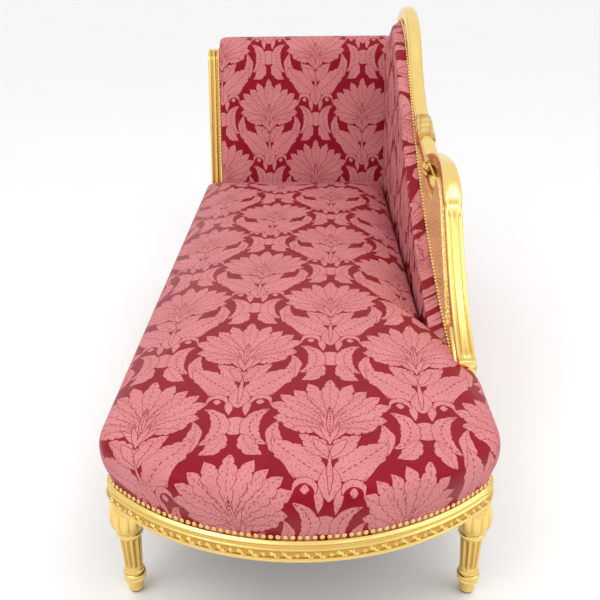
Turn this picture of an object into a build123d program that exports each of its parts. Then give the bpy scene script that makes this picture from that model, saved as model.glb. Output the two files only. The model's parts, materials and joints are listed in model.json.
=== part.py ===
"""Gilt meridienne: a daybed with a bow foot, a rolled headrest and one swept side back."""

import os
from math import atan2, cos, hypot, pi, radians, sin, sqrt, tan

from build123d import *

os.makedirs("parts", exist_ok=True)

# Sizes are millimetres. X runs across the seat, +Y points to the head end, Z is up from the floor.

# Seat frame
HALF_WIDTH = 330  # centre line to the outermost face of a side rail
FOOT_Y = -948  # outermost face of the foot rail, at the middle of the bow
HEAD_Y = 800  # outer face of the head rail
BOW_RADIUS = 444
CORNER_RADIUS = 62
CROWN_CORNER_RADIUS = 45  # least corner radius of the seat's contours
SPLICE_MARGIN = 21.2  # from the end of the bend to the block behind the butt joint
RAIL_TOP = 270
RAIL_HEIGHT = 55
RAIL_THICK = 50
CROSS_RAIL_WIDTH = 50
CROSS_RAIL_HEIGHT = 38
CROSS_RAIL_YS = (-330, 240)
BLOCK_HEIGHT = 36
BLOCK_THICK = 34
BLOCK_LENGTH = 130
CORNER_BLOCK_LEG = 90
DOWEL_RADIUS = 5
DOWEL_LENGTH = 60
DOWEL_GAP = 24
SCREW_RADIUS = 2.5
SCREW_HEAD_RADIUS = 5
SCREW_HEAD_HEIGHT = 3
SCREW_LENGTH = 50
SCREW_GAP = 80

# Rail moulding, as depths behind the outermost face
COVE_DEPTH = 5
COVE_HEIGHT = 14
BAND_DEPTH = 3
BAND_HEIGHT = 15
FILLET_DEPTH = 1.5
FILLET_STEP = 2

# Legs
LEG_INSET = 27  # from the rail's outer face to a leg's axis
LEG_YS = (-773, -5, 752)
GLIDE_HEIGHT = 4
GLIDE_RADIUS = 11
BULB_RADIUS = 33
LEG_TOP_RADIUS = 29
LEG_TOE_RADIUS = 13.5
SHAFT_TOP_RADIUS = 20
SHAFT_FOOT_RADIUS = 16.5
SHAFT_FOOT_Z = 56
SHAFT_TOP_Z = 130
COLLAR_HEIGHT = 26
LEG_RING_HEIGHT = 6
LEG_NAMES = ("foot_left", "foot_right", "middle_left", "middle_right", "head_left", "head_right")
FLUTE_COUNT = 10
FLUTE_RADIUS = 3.2
BOLT_RADIUS = 4
BOLT_HALF_LENGTH = 35

# Upholstery
COVER_THICK = 3
FIT = 0.3  # clearance between a soft piece and its neighbour
STUFFING_GAP = 1.5  # between a cover and the stuffing under it
HEM_HEIGHT = 16
HEM_INSET = 9
STRAP_THICK = 2
STRAP_WIDTH = 50
LONG_STRAP_COUNT = 5
CROSS_STRAP_COUNT = 13
CROSS_STRAP_MARGIN = 90
STRAP_LAP = 5  # how far straps and hessian lie on the rails
HESSIAN_THICK = 1
DUST_THICK = 1.2
DUST_LAP = 8
DUST_LEG_GAP = 3

# Stuffed seat
SEAT_TOP = 400
SEAT_SIDE_BULGE = 6
SEAT_FOOT_BULGE = 2
BULGE_Z = 318
SHOULDER_Z = 350
SEAT_HEAD_Y = 718
SEAT_BACK_GAP = 7  # between the seat and the side back's stuffing
SIDE_FLAT = 10  # half width of the level strip along the crown
FOOT_REACH = 700
HEAD_REACH = 360
BACK_FLAT = 19
SIDE_POWER = 4
FOOT_POWER = 2
NOTCH_Y = -612  # the seat is cut back here to pass inside the side back
NOTCH_RADIUS = 20
NOTCH_RUN = 40
SEAT_CORNER_RADIUS = 40
SHOULDER_DRAW = 5
WALL_STEPS = (0, 12, 24, 36, 48, 64)
CROWN_FALLS = (2, 7, 14, 23, 33, 42)

# Frame of the headrest and of the side back
FRAME_SETBACK = 4  # behind the rail's outer face
FRAME_THICK = 40

# Headrest, measured from the axis of its roll
ROLL_Y = 886
ROLL_Z = 736
ROLL_RADIUS = 64
HEAD_LEAN = 12  # degrees from upright
VOLUTE_RADIUS = 42
VOLUTE_DROP = 14
VOLUTE_SETBACK = 4
POST_DEPTH = 48
TOP_RAIL_RADIUS = 30
LOWER_RAIL_DEPTH = 24
LOWER_RAIL_HEIGHT = 50
LOWER_RAIL_LIFT = 12
HEAD_STRAP_COUNT = 6
HEAD_STRAP_MARGIN = 50
COVER_OPEN = 8
PANEL_EDGE = 6
PAD_END_DRAW = 9
PAD_ROUND = 24

# Side back
ARCH_DEPTH = 42
MOULDING_ROUND = 0.42
ARCH_TIP = (-190, 578)
ARCH_WAIST = (200, 662)
ARCH_RISE = (400, 798)
ARCH_APEX = (610, 889)
ARCH_TIP_ANGLE = 5
ARM_WIDTH = 36
ARM_DEPTH = 36
ARM_SPRING = (-10, 606)
ARM_CREST = (-230, 642)
ARM_KNUCKLE = (-332, 590)
CONSOLE_MID = (-430, 474)
CONSOLE_TOE = (-596, 362)
ARM_SPRING_ANGLE = 161
CONSOLE_FOOT_LENGTH = 66
NAIL_TOE = (-590, 352)
NAIL_LOW = (-275, 424)
NAIL_MID = (148, 618)
NAIL_HIGH = (412, 788)
NAIL_TOP = (610, 866)
NAIL_TOE_ANGLE = 8
INFILL_THICK = 18
INFILL_TOE = (-480, 378)
BOTTOM_RAIL_THICK = 24
BOTTOM_RAIL_HEIGHT = 42
STILE_Y = 95
STILE_WIDTH = 46
BACK_STRAP_YS = (-300, -130, 230, 400, 570)
BACK_PAD_DEPTH = 30
BACK_PAD_STEPS = ((0, 1), (0.4, 0.995), (0.8, 0.97), (1, 0.9))  # share of depth, share of outline
BACK_SKIN_SCALE = 0.99
PAD_HEAD_TOP = (756, 812)
PAD_HEAD_LOW = 700
PAD_TOE_RUN = 30
HEAD_GAP = 3
BACK_PAD_CENTRE = (150, 450)
LEAF_Y = 130
LEAF_LENGTH = 120
LEAF_SWELL = 9
BERRY_RADIUS = 13
PETAL_RADIUS = 10
PETAL_COUNT = 6
PETAL_RING = 19
BERRY_TIP = 8
BERRY_HEIGHT = 11
PETAL_TIP = 6
PETAL_HEIGHT = 8
ROSETTE_AT = (-92, 612)

# Nails
NAIL_RADIUS = 4.7
NAIL_HEIGHT = 2.8
NAIL_LIFT = 7  # from the stuffing's edge to the middle of the nails

# Derived heights and faces
FRAME_OUT = HALF_WIDTH - FRAME_SETBACK
FRAME_IN = FRAME_OUT - FRAME_THICK
SEAT_BACK_X = FRAME_IN - BACK_PAD_DEPTH - SEAT_BACK_GAP
SIDE_REACH = HALF_WIDTH - SIDE_FLAT
BACK_REACH = SEAT_BACK_X - BACK_FLAT
LEG_X = HALF_WIDTH - LEG_INSET
RAIL_BOTTOM = RAIL_TOP - RAIL_HEIGHT
RAIL_INNER = HALF_WIDTH - RAIL_THICK
HEM_BOTTOM = RAIL_TOP - HEM_HEIGHT
LEDGE_INSET = HEM_INSET + COVER_THICK + FIT
WEBBING_TOP = RAIL_TOP + 2 * STRAP_THICK
HESSIAN_TOP = WEBBING_TOP + HESSIAN_THICK
FRAME_MID = (FRAME_IN + FRAME_OUT) / 2
CROWN_FALL = SEAT_TOP - SHOULDER_Z
PANEL_FACE = HALF_WIDTH - LEDGE_INSET + FIT
LEG_TOP = RAIL_BOTTOM
LEG_PLACES = [(side * LEG_X, y) for y in LEG_YS for side in (-1, 1)]


def save(piece, name):
    """Label one finished piece and write it under its own name."""
    piece.label = name
    export_step(piece, f"parts/{name}.step")


def save_largest(builder, name):
    """Keep the one body that a cut leaves in place, write it and hand it back for later cuts."""
    body = builder.part.solids().sort_by(SortBy.VOLUME)[-1]
    save(body, name)
    return body


# Seat frame: bent foot rail, straight side rails, head rail and cross rails

def bow_points(half, apex_y, radius, corner):
    """Where a straight side turns into the corner, the corner's middle, and where the bow starts."""
    centre_y = apex_y + radius
    corner_x = half - corner
    corner_y = centre_y - sqrt((radius - corner) ** 2 - corner_x**2)
    turn = atan2(corner_y - centre_y, corner_x)
    middle = (corner_x + corner * cos(turn / 2), corner_y + corner * sin(turn / 2))
    meet = (corner_x + corner * cos(turn), corner_y + corner * sin(turn))
    return (half, corner_y), middle, meet


# The bent foot rail and the side rails meet at the splice, in a butt joint
BEND_Y = bow_points(HALF_WIDTH, FOOT_Y, BOW_RADIUS, CORNER_RADIUS)[0][1]
SPLICE_Y = BEND_Y + SPLICE_MARGIN + BLOCK_LENGTH / 2


def draw_bow(half, apex_y, radius, corner, left_y, right_y):
    """One run of lines and arcs: left side, corner, bow, corner, right side."""
    side, middle, meet = bow_points(half, apex_y, radius, corner)
    Line((-half, left_y), (-half, side[1]))
    ThreePointArc((-half, side[1]), (-middle[0], middle[1]), (-meet[0], meet[1]))
    ThreePointArc((-meet[0], meet[1]), (0, apex_y), meet)
    ThreePointArc(meet, middle, side)
    Line(side, (half, right_y))


def frame_plan(inset, height):
    """Plan of the seat frame, drawn in by the inset, as a flat face at a height."""
    half = HALF_WIDTH - inset
    head = HEAD_Y - inset
    with BuildSketch(Plane.XY.offset(height)) as plan:
        with BuildLine():
            draw_bow(half, FOOT_Y + inset, BOW_RADIUS - inset, CORNER_RADIUS - inset, head, head)
            Line((half, head), (-half, head))
        make_face()
    return plan.sketch


def rail_section(plane):
    """Section of a moulded rail: nail ledge, cove, carved band and bottom fillet."""
    cove_bottom = HEM_BOTTOM - COVE_HEIGHT
    band_bottom = cove_bottom - BAND_HEIGHT
    with BuildSketch(plane) as section:
        with BuildLine():
            Polyline(
                (FILLET_DEPTH + COVE_DEPTH, RAIL_BOTTOM),
                (RAIL_THICK, RAIL_BOTTOM),
                (RAIL_THICK, RAIL_TOP),
                (LEDGE_INSET, RAIL_TOP),
                (LEDGE_INSET, HEM_BOTTOM),
                (FILLET_DEPTH, HEM_BOTTOM),
            )
            ThreePointArc(
                (FILLET_DEPTH, HEM_BOTTOM),
                (FILLET_DEPTH + COVE_DEPTH, HEM_BOTTOM - COVE_HEIGHT / 2),
                (BAND_DEPTH, cove_bottom),
            )
            ThreePointArc(
                (BAND_DEPTH, cove_bottom),
                (0, cove_bottom - BAND_HEIGHT / 2),
                (BAND_DEPTH, band_bottom),
            )
            Polyline(
                (BAND_DEPTH, band_bottom),
                (BAND_DEPTH, band_bottom - FILLET_STEP),
                (FILLET_DEPTH, band_bottom - FILLET_STEP),
                (FILLET_DEPTH, RAIL_BOTTOM + COVE_DEPTH),
                (FILLET_DEPTH + COVE_DEPTH, RAIL_BOTTOM),
            )
        make_face()
    return section.sketch


# Fasteners: dowels in the butt joints, screws in the blocks and bolts in the legs

RAIL_MIDDLE_X = HALF_WIDTH - (RAIL_THICK + LEDGE_INSET) / 2
RAIL_MIDDLE_Z = (RAIL_TOP + RAIL_BOTTOM) / 2
BLOCK_FACE_X = RAIL_INNER - BLOCK_THICK
MIN_Z = (Align.CENTER, Align.CENTER, Align.MIN)

with BuildPart() as rail_dowels:
    for side in (-1, 1):
        for lift in (-DOWEL_GAP / 2, DOWEL_GAP / 2):
            with Locations((side * RAIL_MIDDLE_X, SPLICE_Y, RAIL_MIDDLE_Z + lift)):
                Cylinder(DOWEL_RADIUS, DOWEL_LENGTH, rotation=(90, 0, 0))
save(rail_dowels.part, "rail_dowels")

with BuildPart() as block_screws:
    for side in (-1, 1):
        for step in (-SCREW_GAP / 2, SCREW_GAP / 2):
            seat = (side * BLOCK_FACE_X, SPLICE_Y + step, RAIL_MIDDLE_Z)
            with Locations(Location(seat, (0, side * 90, 0))):
                Cylinder(SCREW_RADIUS, SCREW_LENGTH, align=MIN_Z)
            with Locations(Location(seat, (0, -side * 90, 0))):
                Cylinder(SCREW_HEAD_RADIUS, SCREW_HEAD_HEIGHT, align=MIN_Z)
save(block_screws.part, "block_screws")

with BuildPart() as leg_bolts:
    with Locations(*[(x, y, LEG_TOP) for x, y in LEG_PLACES]):
        Cylinder(BOLT_RADIUS, 2 * BOLT_HALF_LENGTH)
save(leg_bolts.part, "leg_bolts")

# Seat frame rails and blocks

with BuildPart() as foot_rail:
    with BuildLine() as rail_path:
        draw_bow(HALF_WIDTH, FOOT_Y, BOW_RADIUS, CORNER_RADIUS, SPLICE_Y, SPLICE_Y)
    sweep(
        rail_section(Plane((-HALF_WIDTH, SPLICE_Y, 0), x_dir=(1, 0, 0), z_dir=(0, -1, 0))),
        path=rail_path.wire(),
    )
    for fastener in (rail_dowels, block_screws, leg_bolts):
        add(fastener.part, mode=Mode.SUBTRACT)
save(foot_rail.part, "foot_rail")

with BuildPart() as left_seat_rail:
    section = rail_section(Plane((-HALF_WIDTH, HEAD_Y, 0), x_dir=(1, 0, 0), z_dir=(0, -1, 0)))
    extrude(section, amount=HEAD_Y - SPLICE_Y)
    for fastener in (rail_dowels, block_screws, leg_bolts):
        add(fastener.part, mode=Mode.SUBTRACT)
save(left_seat_rail.part, "left_seat_rail")

with BuildPart() as right_seat_rail:
    mirror(left_seat_rail.part, about=Plane.YZ)
save(right_seat_rail.part, "right_seat_rail")

with BuildPart() as head_rail:
    extrude(
        rail_section(Plane((RAIL_INNER, HEAD_Y, 0), x_dir=(0, -1, 0), z_dir=(-1, 0, 0))),
        amount=2 * RAIL_INNER,
    )
save(head_rail.part, "head_rail")

for number, cross_y in enumerate(CROSS_RAIL_YS, start=1):
    with BuildPart() as cross_rail:
        with Locations((0, cross_y, RAIL_BOTTOM)):
            Box(2 * RAIL_INNER, CROSS_RAIL_WIDTH, CROSS_RAIL_HEIGHT, align=MIN_Z)
    save(cross_rail.part, f"seat_cross_rail_{number}")

with BuildPart() as splice_blocks:
    for side in (-1, 1):
        with Locations((side * (RAIL_INNER - BLOCK_THICK / 2), SPLICE_Y, RAIL_MIDDLE_Z)):
            Box(BLOCK_THICK, BLOCK_LENGTH, BLOCK_HEIGHT)
    add(block_screws.part, mode=Mode.SUBTRACT)
save(splice_blocks.part, "splice_blocks")

HEAD_RAIL_FACE = HEAD_Y - RAIL_THICK
with BuildPart() as corner_blocks:
    with BuildSketch(Plane.XY.offset(RAIL_MIDDLE_Z - BLOCK_HEIGHT / 2)):
        for side in (-1, 1):
            with BuildLine():
                Polyline(
                    (side * RAIL_INNER, HEAD_RAIL_FACE),
                    (side * (RAIL_INNER - CORNER_BLOCK_LEG), HEAD_RAIL_FACE),
                    (side * RAIL_INNER, HEAD_RAIL_FACE - CORNER_BLOCK_LEG),
                    close=True,
                )
            make_face()
    extrude(amount=BLOCK_HEIGHT)
save(corner_blocks.part, "corner_blocks")

# Legs: toe, ringed collar, fluted shaft, round bulb and top ring, each on its own bolt

BULB_FOOT_Z = SHAFT_TOP_Z + LEG_RING_HEIGHT
BULB_TOP_Z = LEG_TOP - 2 * LEG_RING_HEIGHT
BULB_MIDDLE_Z = (BULB_FOOT_Z + BULB_TOP_Z) / 2
COLLAR_TOP_Z = SHAFT_FOOT_Z - LEG_RING_HEIGHT
COLLAR_FOOT_Z = COLLAR_TOP_Z - COLLAR_HEIGHT
COLLAR_MIDDLE_Z = (COLLAR_TOP_Z + COLLAR_FOOT_Z) / 2
RING_SWELL = LEG_RING_HEIGHT / 2


def ring(radius, foot_z, top_z):
    """A half round moulding on a turned leg, from one height to the next."""
    ThreePointArc((radius, foot_z), (radius + RING_SWELL, (foot_z + top_z) / 2), (radius, top_z))


with BuildPart() as turned_leg:
    with BuildSketch(Plane.XZ):
        with BuildLine():
            Polyline((0, LEG_TOP), (0, GLIDE_HEIGHT), (GLIDE_RADIUS, GLIDE_HEIGHT))
            ThreePointArc(
                (GLIDE_RADIUS, GLIDE_HEIGHT),
                (LEG_TOE_RADIUS, (GLIDE_HEIGHT + COLLAR_FOOT_Z) / 2),
                (GLIDE_RADIUS, COLLAR_FOOT_Z),
            )
            Line((GLIDE_RADIUS, COLLAR_FOOT_Z), (SHAFT_TOP_RADIUS, COLLAR_FOOT_Z))
            ring(SHAFT_TOP_RADIUS, COLLAR_FOOT_Z, COLLAR_MIDDLE_Z)
            ring(SHAFT_TOP_RADIUS, COLLAR_MIDDLE_Z, COLLAR_TOP_Z)
            Polyline(
                (SHAFT_TOP_RADIUS, COLLAR_TOP_Z),
                (SHAFT_FOOT_RADIUS, COLLAR_TOP_Z),
                (SHAFT_FOOT_RADIUS, SHAFT_FOOT_Z),
                (SHAFT_TOP_RADIUS, SHAFT_TOP_Z),
            )
            ring(SHAFT_TOP_RADIUS, SHAFT_TOP_Z, BULB_FOOT_Z)
            ThreePointArc(
                (SHAFT_TOP_RADIUS, BULB_FOOT_Z),
                (BULB_RADIUS, BULB_MIDDLE_Z),
                (SHAFT_TOP_RADIUS, BULB_TOP_Z),
            )
            ring(SHAFT_TOP_RADIUS, BULB_TOP_Z, BULB_TOP_Z + LEG_RING_HEIGHT)
            Polyline(
                (SHAFT_TOP_RADIUS, BULB_TOP_Z + LEG_RING_HEIGHT),
                (LEG_TOP_RADIUS, BULB_TOP_Z + LEG_RING_HEIGHT),
                (LEG_TOP_RADIUS, LEG_TOP),
                (0, LEG_TOP),
            )
        make_face()
    revolve(axis=Axis.Z)
    with BuildSketch(Plane.XY.offset(SHAFT_FOOT_Z)):
        with PolarLocations(SHAFT_TOP_RADIUS, FLUTE_COUNT):
            Circle(FLUTE_RADIUS)
    extrude(amount=SHAFT_TOP_Z - SHAFT_FOOT_Z - LEG_RING_HEIGHT, mode=Mode.SUBTRACT)
    with Locations((0, 0, LEG_TOP)):
        Cylinder(BOLT_RADIUS, 2 * BOLT_HALF_LENGTH, mode=Mode.SUBTRACT)

for (leg_x, leg_y), leg_name in zip(LEG_PLACES, LEG_NAMES):
    leg = turned_leg.part.moved(Location((leg_x, leg_y, 0)))
    save(leg, f"leg_{leg_name}")

with BuildPart() as leg_glides:
    with Locations(*[(x, y, 0) for x, y in LEG_PLACES]):
        Cylinder(GLIDE_RADIUS, GLIDE_HEIGHT, align=MIN_Z)
save(leg_glides.part, "leg_glides")

# Seat suspension: straps over the frame, hessian over the straps, dust cloth underneath

with BuildPart() as seat_cross_straps:
    strap_half = RAIL_INNER + STRAP_LAP
    strap_first = FOOT_Y + BOW_RADIUS / 2
    strap_last = HEAD_RAIL_FACE - CROSS_STRAP_MARGIN
    strap_step = (strap_last - strap_first) / (CROSS_STRAP_COUNT - 1)
    with Locations(*[(0, strap_first + strap_step * i, RAIL_TOP) for i in range(CROSS_STRAP_COUNT)]):
        Box(2 * strap_half, STRAP_WIDTH, STRAP_THICK, align=MIN_Z)
save(seat_cross_straps.part, "seat_cross_straps")

with BuildPart() as seat_long_straps:
    extrude(frame_plan(RAIL_THICK - STRAP_LAP, RAIL_TOP + STRAP_THICK), amount=STRAP_THICK)
    long_pitch = 2 * RAIL_INNER / LONG_STRAP_COUNT
    long_first = -long_pitch * (LONG_STRAP_COUNT - 1) / 2
    long_xs = [long_first + long_pitch * i for i in range(LONG_STRAP_COUNT)]
    with Locations(*[(x, 0, RAIL_TOP + STRAP_THICK) for x in long_xs]):
        Box(STRAP_WIDTH, HEAD_Y - 2 * FOOT_Y, STRAP_THICK, align=MIN_Z, mode=Mode.INTERSECT)
save(seat_long_straps.part, "seat_long_straps")

with BuildPart() as seat_hessian:
    extrude(frame_plan(RAIL_THICK - STRAP_LAP, WEBBING_TOP), amount=HESSIAN_THICK)
save(seat_hessian.part, "seat_hessian")

with BuildPart() as seat_dust_cover:
    extrude(frame_plan(RAIL_THICK - DUST_LAP, RAIL_BOTTOM - DUST_THICK), amount=DUST_THICK)
    with Locations(*[(x, y, RAIL_BOTTOM) for x, y in LEG_PLACES]):
        Cylinder(LEG_TOP_RADIUS + DUST_LEG_GAP, 2 * RAIL_HEIGHT, mode=Mode.SUBTRACT)
save(seat_dust_cover.part, "seat_dust_cover")

# Stuffed seat: crowned top, swelling sides drawn in to the nailed hem

def wall_inset(height, bulge):
    """How far the seat's side stands in from the rail's face: hem, swell, then shoulder."""
    if height <= BULGE_Z:
        rise = min(1, (BULGE_Z - height) / (BULGE_Z - RAIL_TOP))
        return (bulge + HEM_INSET) * rise**2 - bulge
    rise = (height - BULGE_Z) / (SHOULDER_Z - BULGE_Z)
    return SHOULDER_DRAW * rise**2 - bulge


def crown_inset(fall, reach, power):
    """How far the crown's contour stands in from the shoulder, at a fall from the seat's top."""
    return reach * (1 - (fall / CROWN_FALL) ** (1 / power))


def cushion_plan(height, side, foot, head, back, skin):
    """One contour of the stuffed seat, with the step that lets it pass inside the side back."""
    corner = max(CORNER_RADIUS - side, CROWN_CORNER_RADIUS)
    straight_y = bow_points(HALF_WIDTH - side, FOOT_Y + foot, BOW_RADIUS - side, corner)[0][1]
    notch_y = max(NOTCH_Y - side, straight_y + NOTCH_RUN) - skin
    half = HALF_WIDTH - side - skin
    head_y = SEAT_HEAD_Y - head - skin
    back_x = SEAT_BACK_X - back - skin
    notch_bend = NOTCH_RADIUS * (1 - sqrt(0.5))
    head_bend = SEAT_CORNER_RADIUS * (1 - sqrt(0.5))
    with BuildSketch(Plane.XY.offset(height)) as plan:
        with BuildLine():
            draw_bow(
                half,
                FOOT_Y + foot + skin,
                BOW_RADIUS - side - skin,
                corner - skin,
                head_y - SEAT_CORNER_RADIUS,
                notch_y - NOTCH_RADIUS,
            )
            ThreePointArc(
                (half, notch_y - NOTCH_RADIUS),
                (half - notch_bend, notch_y - notch_bend),
                (half - NOTCH_RADIUS, notch_y),
            )
            Polyline(
                (half - NOTCH_RADIUS, notch_y),
                (back_x, notch_y),
                (back_x, head_y),
                (SEAT_CORNER_RADIUS - half, head_y),
            )
            ThreePointArc(
                (SEAT_CORNER_RADIUS - half, head_y),
                (head_bend - half, head_y - head_bend),
                (-half, head_y - SEAT_CORNER_RADIUS),
            )
        make_face()
    return plan.sketch


def cushion_contours(skin):
    """Contours from the hem to the crown, all drawn in by the skin's thickness."""
    contours = []
    for step in (-HEM_HEIGHT, *WALL_STEPS):
        height = RAIL_TOP + step
        side = wall_inset(height, SEAT_SIDE_BULGE)
        foot = wall_inset(height, SEAT_FOOT_BULGE)
        contours.append(cushion_plan(height, side, foot, side, side, skin))
    side = wall_inset(SHOULDER_Z, SEAT_SIDE_BULGE)
    foot = wall_inset(SHOULDER_Z, SEAT_FOOT_BULGE)
    for fall in reversed(CROWN_FALLS):
        contours.append(
            cushion_plan(
                SEAT_TOP - fall - skin,
                side + crown_inset(fall, SIDE_REACH, SIDE_POWER),
                foot + crown_inset(fall, FOOT_REACH, FOOT_POWER),
                side + crown_inset(fall, HEAD_REACH, FOOT_POWER),
                side + crown_inset(fall, BACK_REACH, SIDE_POWER),
                skin,
            )
        )
    return contours


with BuildPart() as seat_cover:
    loft(cushion_contours(0), ruled=True)
    loft(cushion_contours(COVER_THICK), ruled=True, mode=Mode.SUBTRACT)
    extrude(frame_plan(LEDGE_INSET, HEM_BOTTOM), amount=HESSIAN_TOP + FIT - HEM_BOTTOM, mode=Mode.SUBTRACT)
save(seat_cover.part, "seat_cover")

with BuildPart() as seat_foam:
    loft(cushion_contours(COVER_THICK + STUFFING_GAP), ruled=True)
    extrude(frame_plan(-HEM_INSET, HEM_BOTTOM), amount=HESSIAN_TOP - HEM_BOTTOM, mode=Mode.SUBTRACT)
    add(seat_cover.part, clean=False, mode=Mode.SUBTRACT)
save_largest(seat_foam, "seat_foam")

# Headrest: scroll posts, rails, straps, stuffing and cover, leaning back into a roll

LEAN = radians(HEAD_LEAN)
VOLUTE_Y = ROLL_Y - VOLUTE_SETBACK
VOLUTE_Z = ROLL_Z - VOLUTE_DROP
STRAP_FRONT = TOP_RAIL_RADIUS + STRAP_THICK


def leaning(front, up, centre=(VOLUTE_Y, VOLUTE_Z)):
    """A point of the headrest's side view: so far before its axis and so far up the slope."""
    return (
        centre[0] - front * cos(LEAN) + up * sin(LEAN),
        centre[1] + front * sin(LEAN) + up * cos(LEAN),
    )


def leaning_at(front, height, centre=(VOLUTE_Y, VOLUTE_Z)):
    """The point of the headrest's side view at a given height above the floor."""
    return leaning(front, (height - centre[1] - front * sin(LEAN)) / cos(LEAN), centre)


def draw_roll(radius, centre):
    """Three quarters of a turn, from the front of a roll over its top to its underside."""
    slant = radius * sqrt(0.5)
    ThreePointArc(
        leaning(radius, 0, centre), leaning(slant, slant, centre), leaning(0, radius, centre)
    )
    ThreePointArc(
        leaning(0, radius, centre), leaning(-slant, slant, centre), leaning(-radius, 0, centre)
    )
    ThreePointArc(
        leaning(-radius, 0, centre), leaning(-slant, -slant, centre), leaning(0, -radius, centre)
    )


with BuildPart() as head_post_left:
    with BuildSketch(Plane.YZ.offset(-FRAME_OUT)):
        with BuildLine():
            Line(leaning_at(VOLUTE_RADIUS, RAIL_TOP), leaning(VOLUTE_RADIUS, 0))
            draw_roll(VOLUTE_RADIUS, (VOLUTE_Y, VOLUTE_Z))
            Polyline(
                leaning(0, -VOLUTE_RADIUS),
                leaning(VOLUTE_RADIUS - POST_DEPTH, -VOLUTE_RADIUS),
                leaning_at(VOLUTE_RADIUS - POST_DEPTH, RAIL_TOP),
                leaning_at(VOLUTE_RADIUS, RAIL_TOP),
            )
        make_face()
    extrude(amount=FRAME_OUT - FRAME_IN)
save(head_post_left.part, "head_post_left")

with BuildPart() as head_post_right:
    mirror(head_post_left.part, about=Plane.YZ)
save(head_post_right.part, "head_post_right")

with BuildPart() as head_top_rail:
    with BuildSketch(Plane.YZ.offset(-FRAME_IN)):
        with Locations((VOLUTE_Y, VOLUTE_Z)):
            Circle(TOP_RAIL_RADIUS)
    extrude(amount=2 * FRAME_IN)
save(head_top_rail.part, "head_top_rail")

LOWER_RAIL_Z = HESSIAN_TOP + LOWER_RAIL_LIFT
with BuildPart() as head_lower_rail:
    with BuildSketch(Plane.YZ.offset(-FRAME_IN)):
        with BuildLine():
            Polyline(
                leaning_at(TOP_RAIL_RADIUS, LOWER_RAIL_Z),
                leaning_at(TOP_RAIL_RADIUS, LOWER_RAIL_Z + LOWER_RAIL_HEIGHT),
                leaning_at(TOP_RAIL_RADIUS - LOWER_RAIL_DEPTH, LOWER_RAIL_Z + LOWER_RAIL_HEIGHT),
                leaning_at(TOP_RAIL_RADIUS - LOWER_RAIL_DEPTH, LOWER_RAIL_Z),
                close=True,
            )
        make_face()
    extrude(amount=2 * FRAME_IN)
save(head_lower_rail.part, "head_lower_rail")

with BuildPart() as head_straps:
    with BuildSketch(Plane.YZ):
        with BuildLine():
            Polyline(
                leaning_at(TOP_RAIL_RADIUS, LOWER_RAIL_Z),
                leaning(TOP_RAIL_RADIUS, 0),
                leaning(STRAP_FRONT, 0),
                leaning_at(STRAP_FRONT, LOWER_RAIL_Z),
                close=True,
            )
        make_face()
    strap = extrude(amount=STRAP_WIDTH / 2, both=True, mode=Mode.PRIVATE)
    strap_pitch = 2 * (FRAME_IN - HEAD_STRAP_MARGIN) / (HEAD_STRAP_COUNT - 1)
    strap_xs = [HEAD_STRAP_MARGIN - FRAME_IN + strap_pitch * i for i in range(HEAD_STRAP_COUNT)]
    with Locations(*[(x, 0, 0) for x in strap_xs]):
        add(strap)
save(head_straps.part, "head_straps")

ROLL_AXIS = (ROLL_Y, ROLL_Z)
PAD_BACK = STRAP_FRONT + FIT + (ROLL_Y - VOLUTE_Y) * cos(LEAN) - (ROLL_Z - VOLUTE_Z) * sin(LEAN)


def pad_outline(x, radius):
    """The stuffed headrest cut across at X: a leaning face that rolls over the top rail."""
    foot_z = HESSIAN_TOP + FIT
    with BuildSketch(Plane.YZ.offset(x)) as outline:
        with BuildLine():
            Line(leaning_at(radius, foot_z, ROLL_AXIS), leaning(radius, 0, ROLL_AXIS))
            draw_roll(radius, ROLL_AXIS)
            Polyline(
                leaning(0, -radius, ROLL_AXIS),
                leaning(PAD_BACK, -radius, ROLL_AXIS),
                leaning_at(PAD_BACK, foot_z, ROLL_AXIS),
                leaning_at(radius, foot_z, ROLL_AXIS),
            )
        make_face()
    return outline.sketch


def pad_sections(skin):
    """Cross cuts from end to end: drawn in at the ends and full in the middle."""
    end = FRAME_IN - FIT - skin
    full = ROLL_RADIUS - skin
    steps = (
        (end, full - PAD_END_DRAW),
        (end - PAD_ROUND / 3, full - PAD_END_DRAW / 3),
        (end - PAD_ROUND, full),
        (0, full),
    )
    left = [pad_outline(-x, radius) for x, radius in steps]
    right = [pad_outline(x, radius) for x, radius in reversed(steps[:-1])]
    return left + right


def pad_hollow(low, high):
    """The space behind the straps, from one height on the slope to another, right across the headrest."""
    with BuildSketch(Plane.YZ.offset(-FRAME_IN)) as hollow:
        with BuildLine():
            Polyline(
                leaning(PAD_BACK, low, ROLL_AXIS),
                leaning(PAD_BACK, high, ROLL_AXIS),
                leaning(-ROLL_RADIUS, high, ROLL_AXIS),
                leaning(-ROLL_RADIUS, low, ROLL_AXIS),
                close=True,
            )
        make_face()
    return extrude(hollow.sketch, amount=2 * FRAME_IN, mode=Mode.PRIVATE)


def top_rail_bore(gap):
    """Room for the top rail through the stuffing and the ends of the cover."""
    with BuildSketch(Plane.YZ.offset(-FRAME_IN)) as bore:
        with Locations((VOLUTE_Y, VOLUTE_Z)):
            Circle(TOP_RAIL_RADIUS + gap)
    return extrude(bore.sketch, amount=2 * FRAME_IN, mode=Mode.PRIVATE)


with BuildPart() as head_cover:
    loft(pad_sections(0), ruled=True)
    loft(pad_sections(COVER_THICK), ruled=True, mode=Mode.SUBTRACT)
    add(pad_hollow(-2 * ROLL_RADIUS, COVER_OPEN - ROLL_RADIUS), mode=Mode.SUBTRACT)
    add(top_rail_bore(FIT), mode=Mode.SUBTRACT)
save(head_cover.part, "head_cover")

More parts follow.
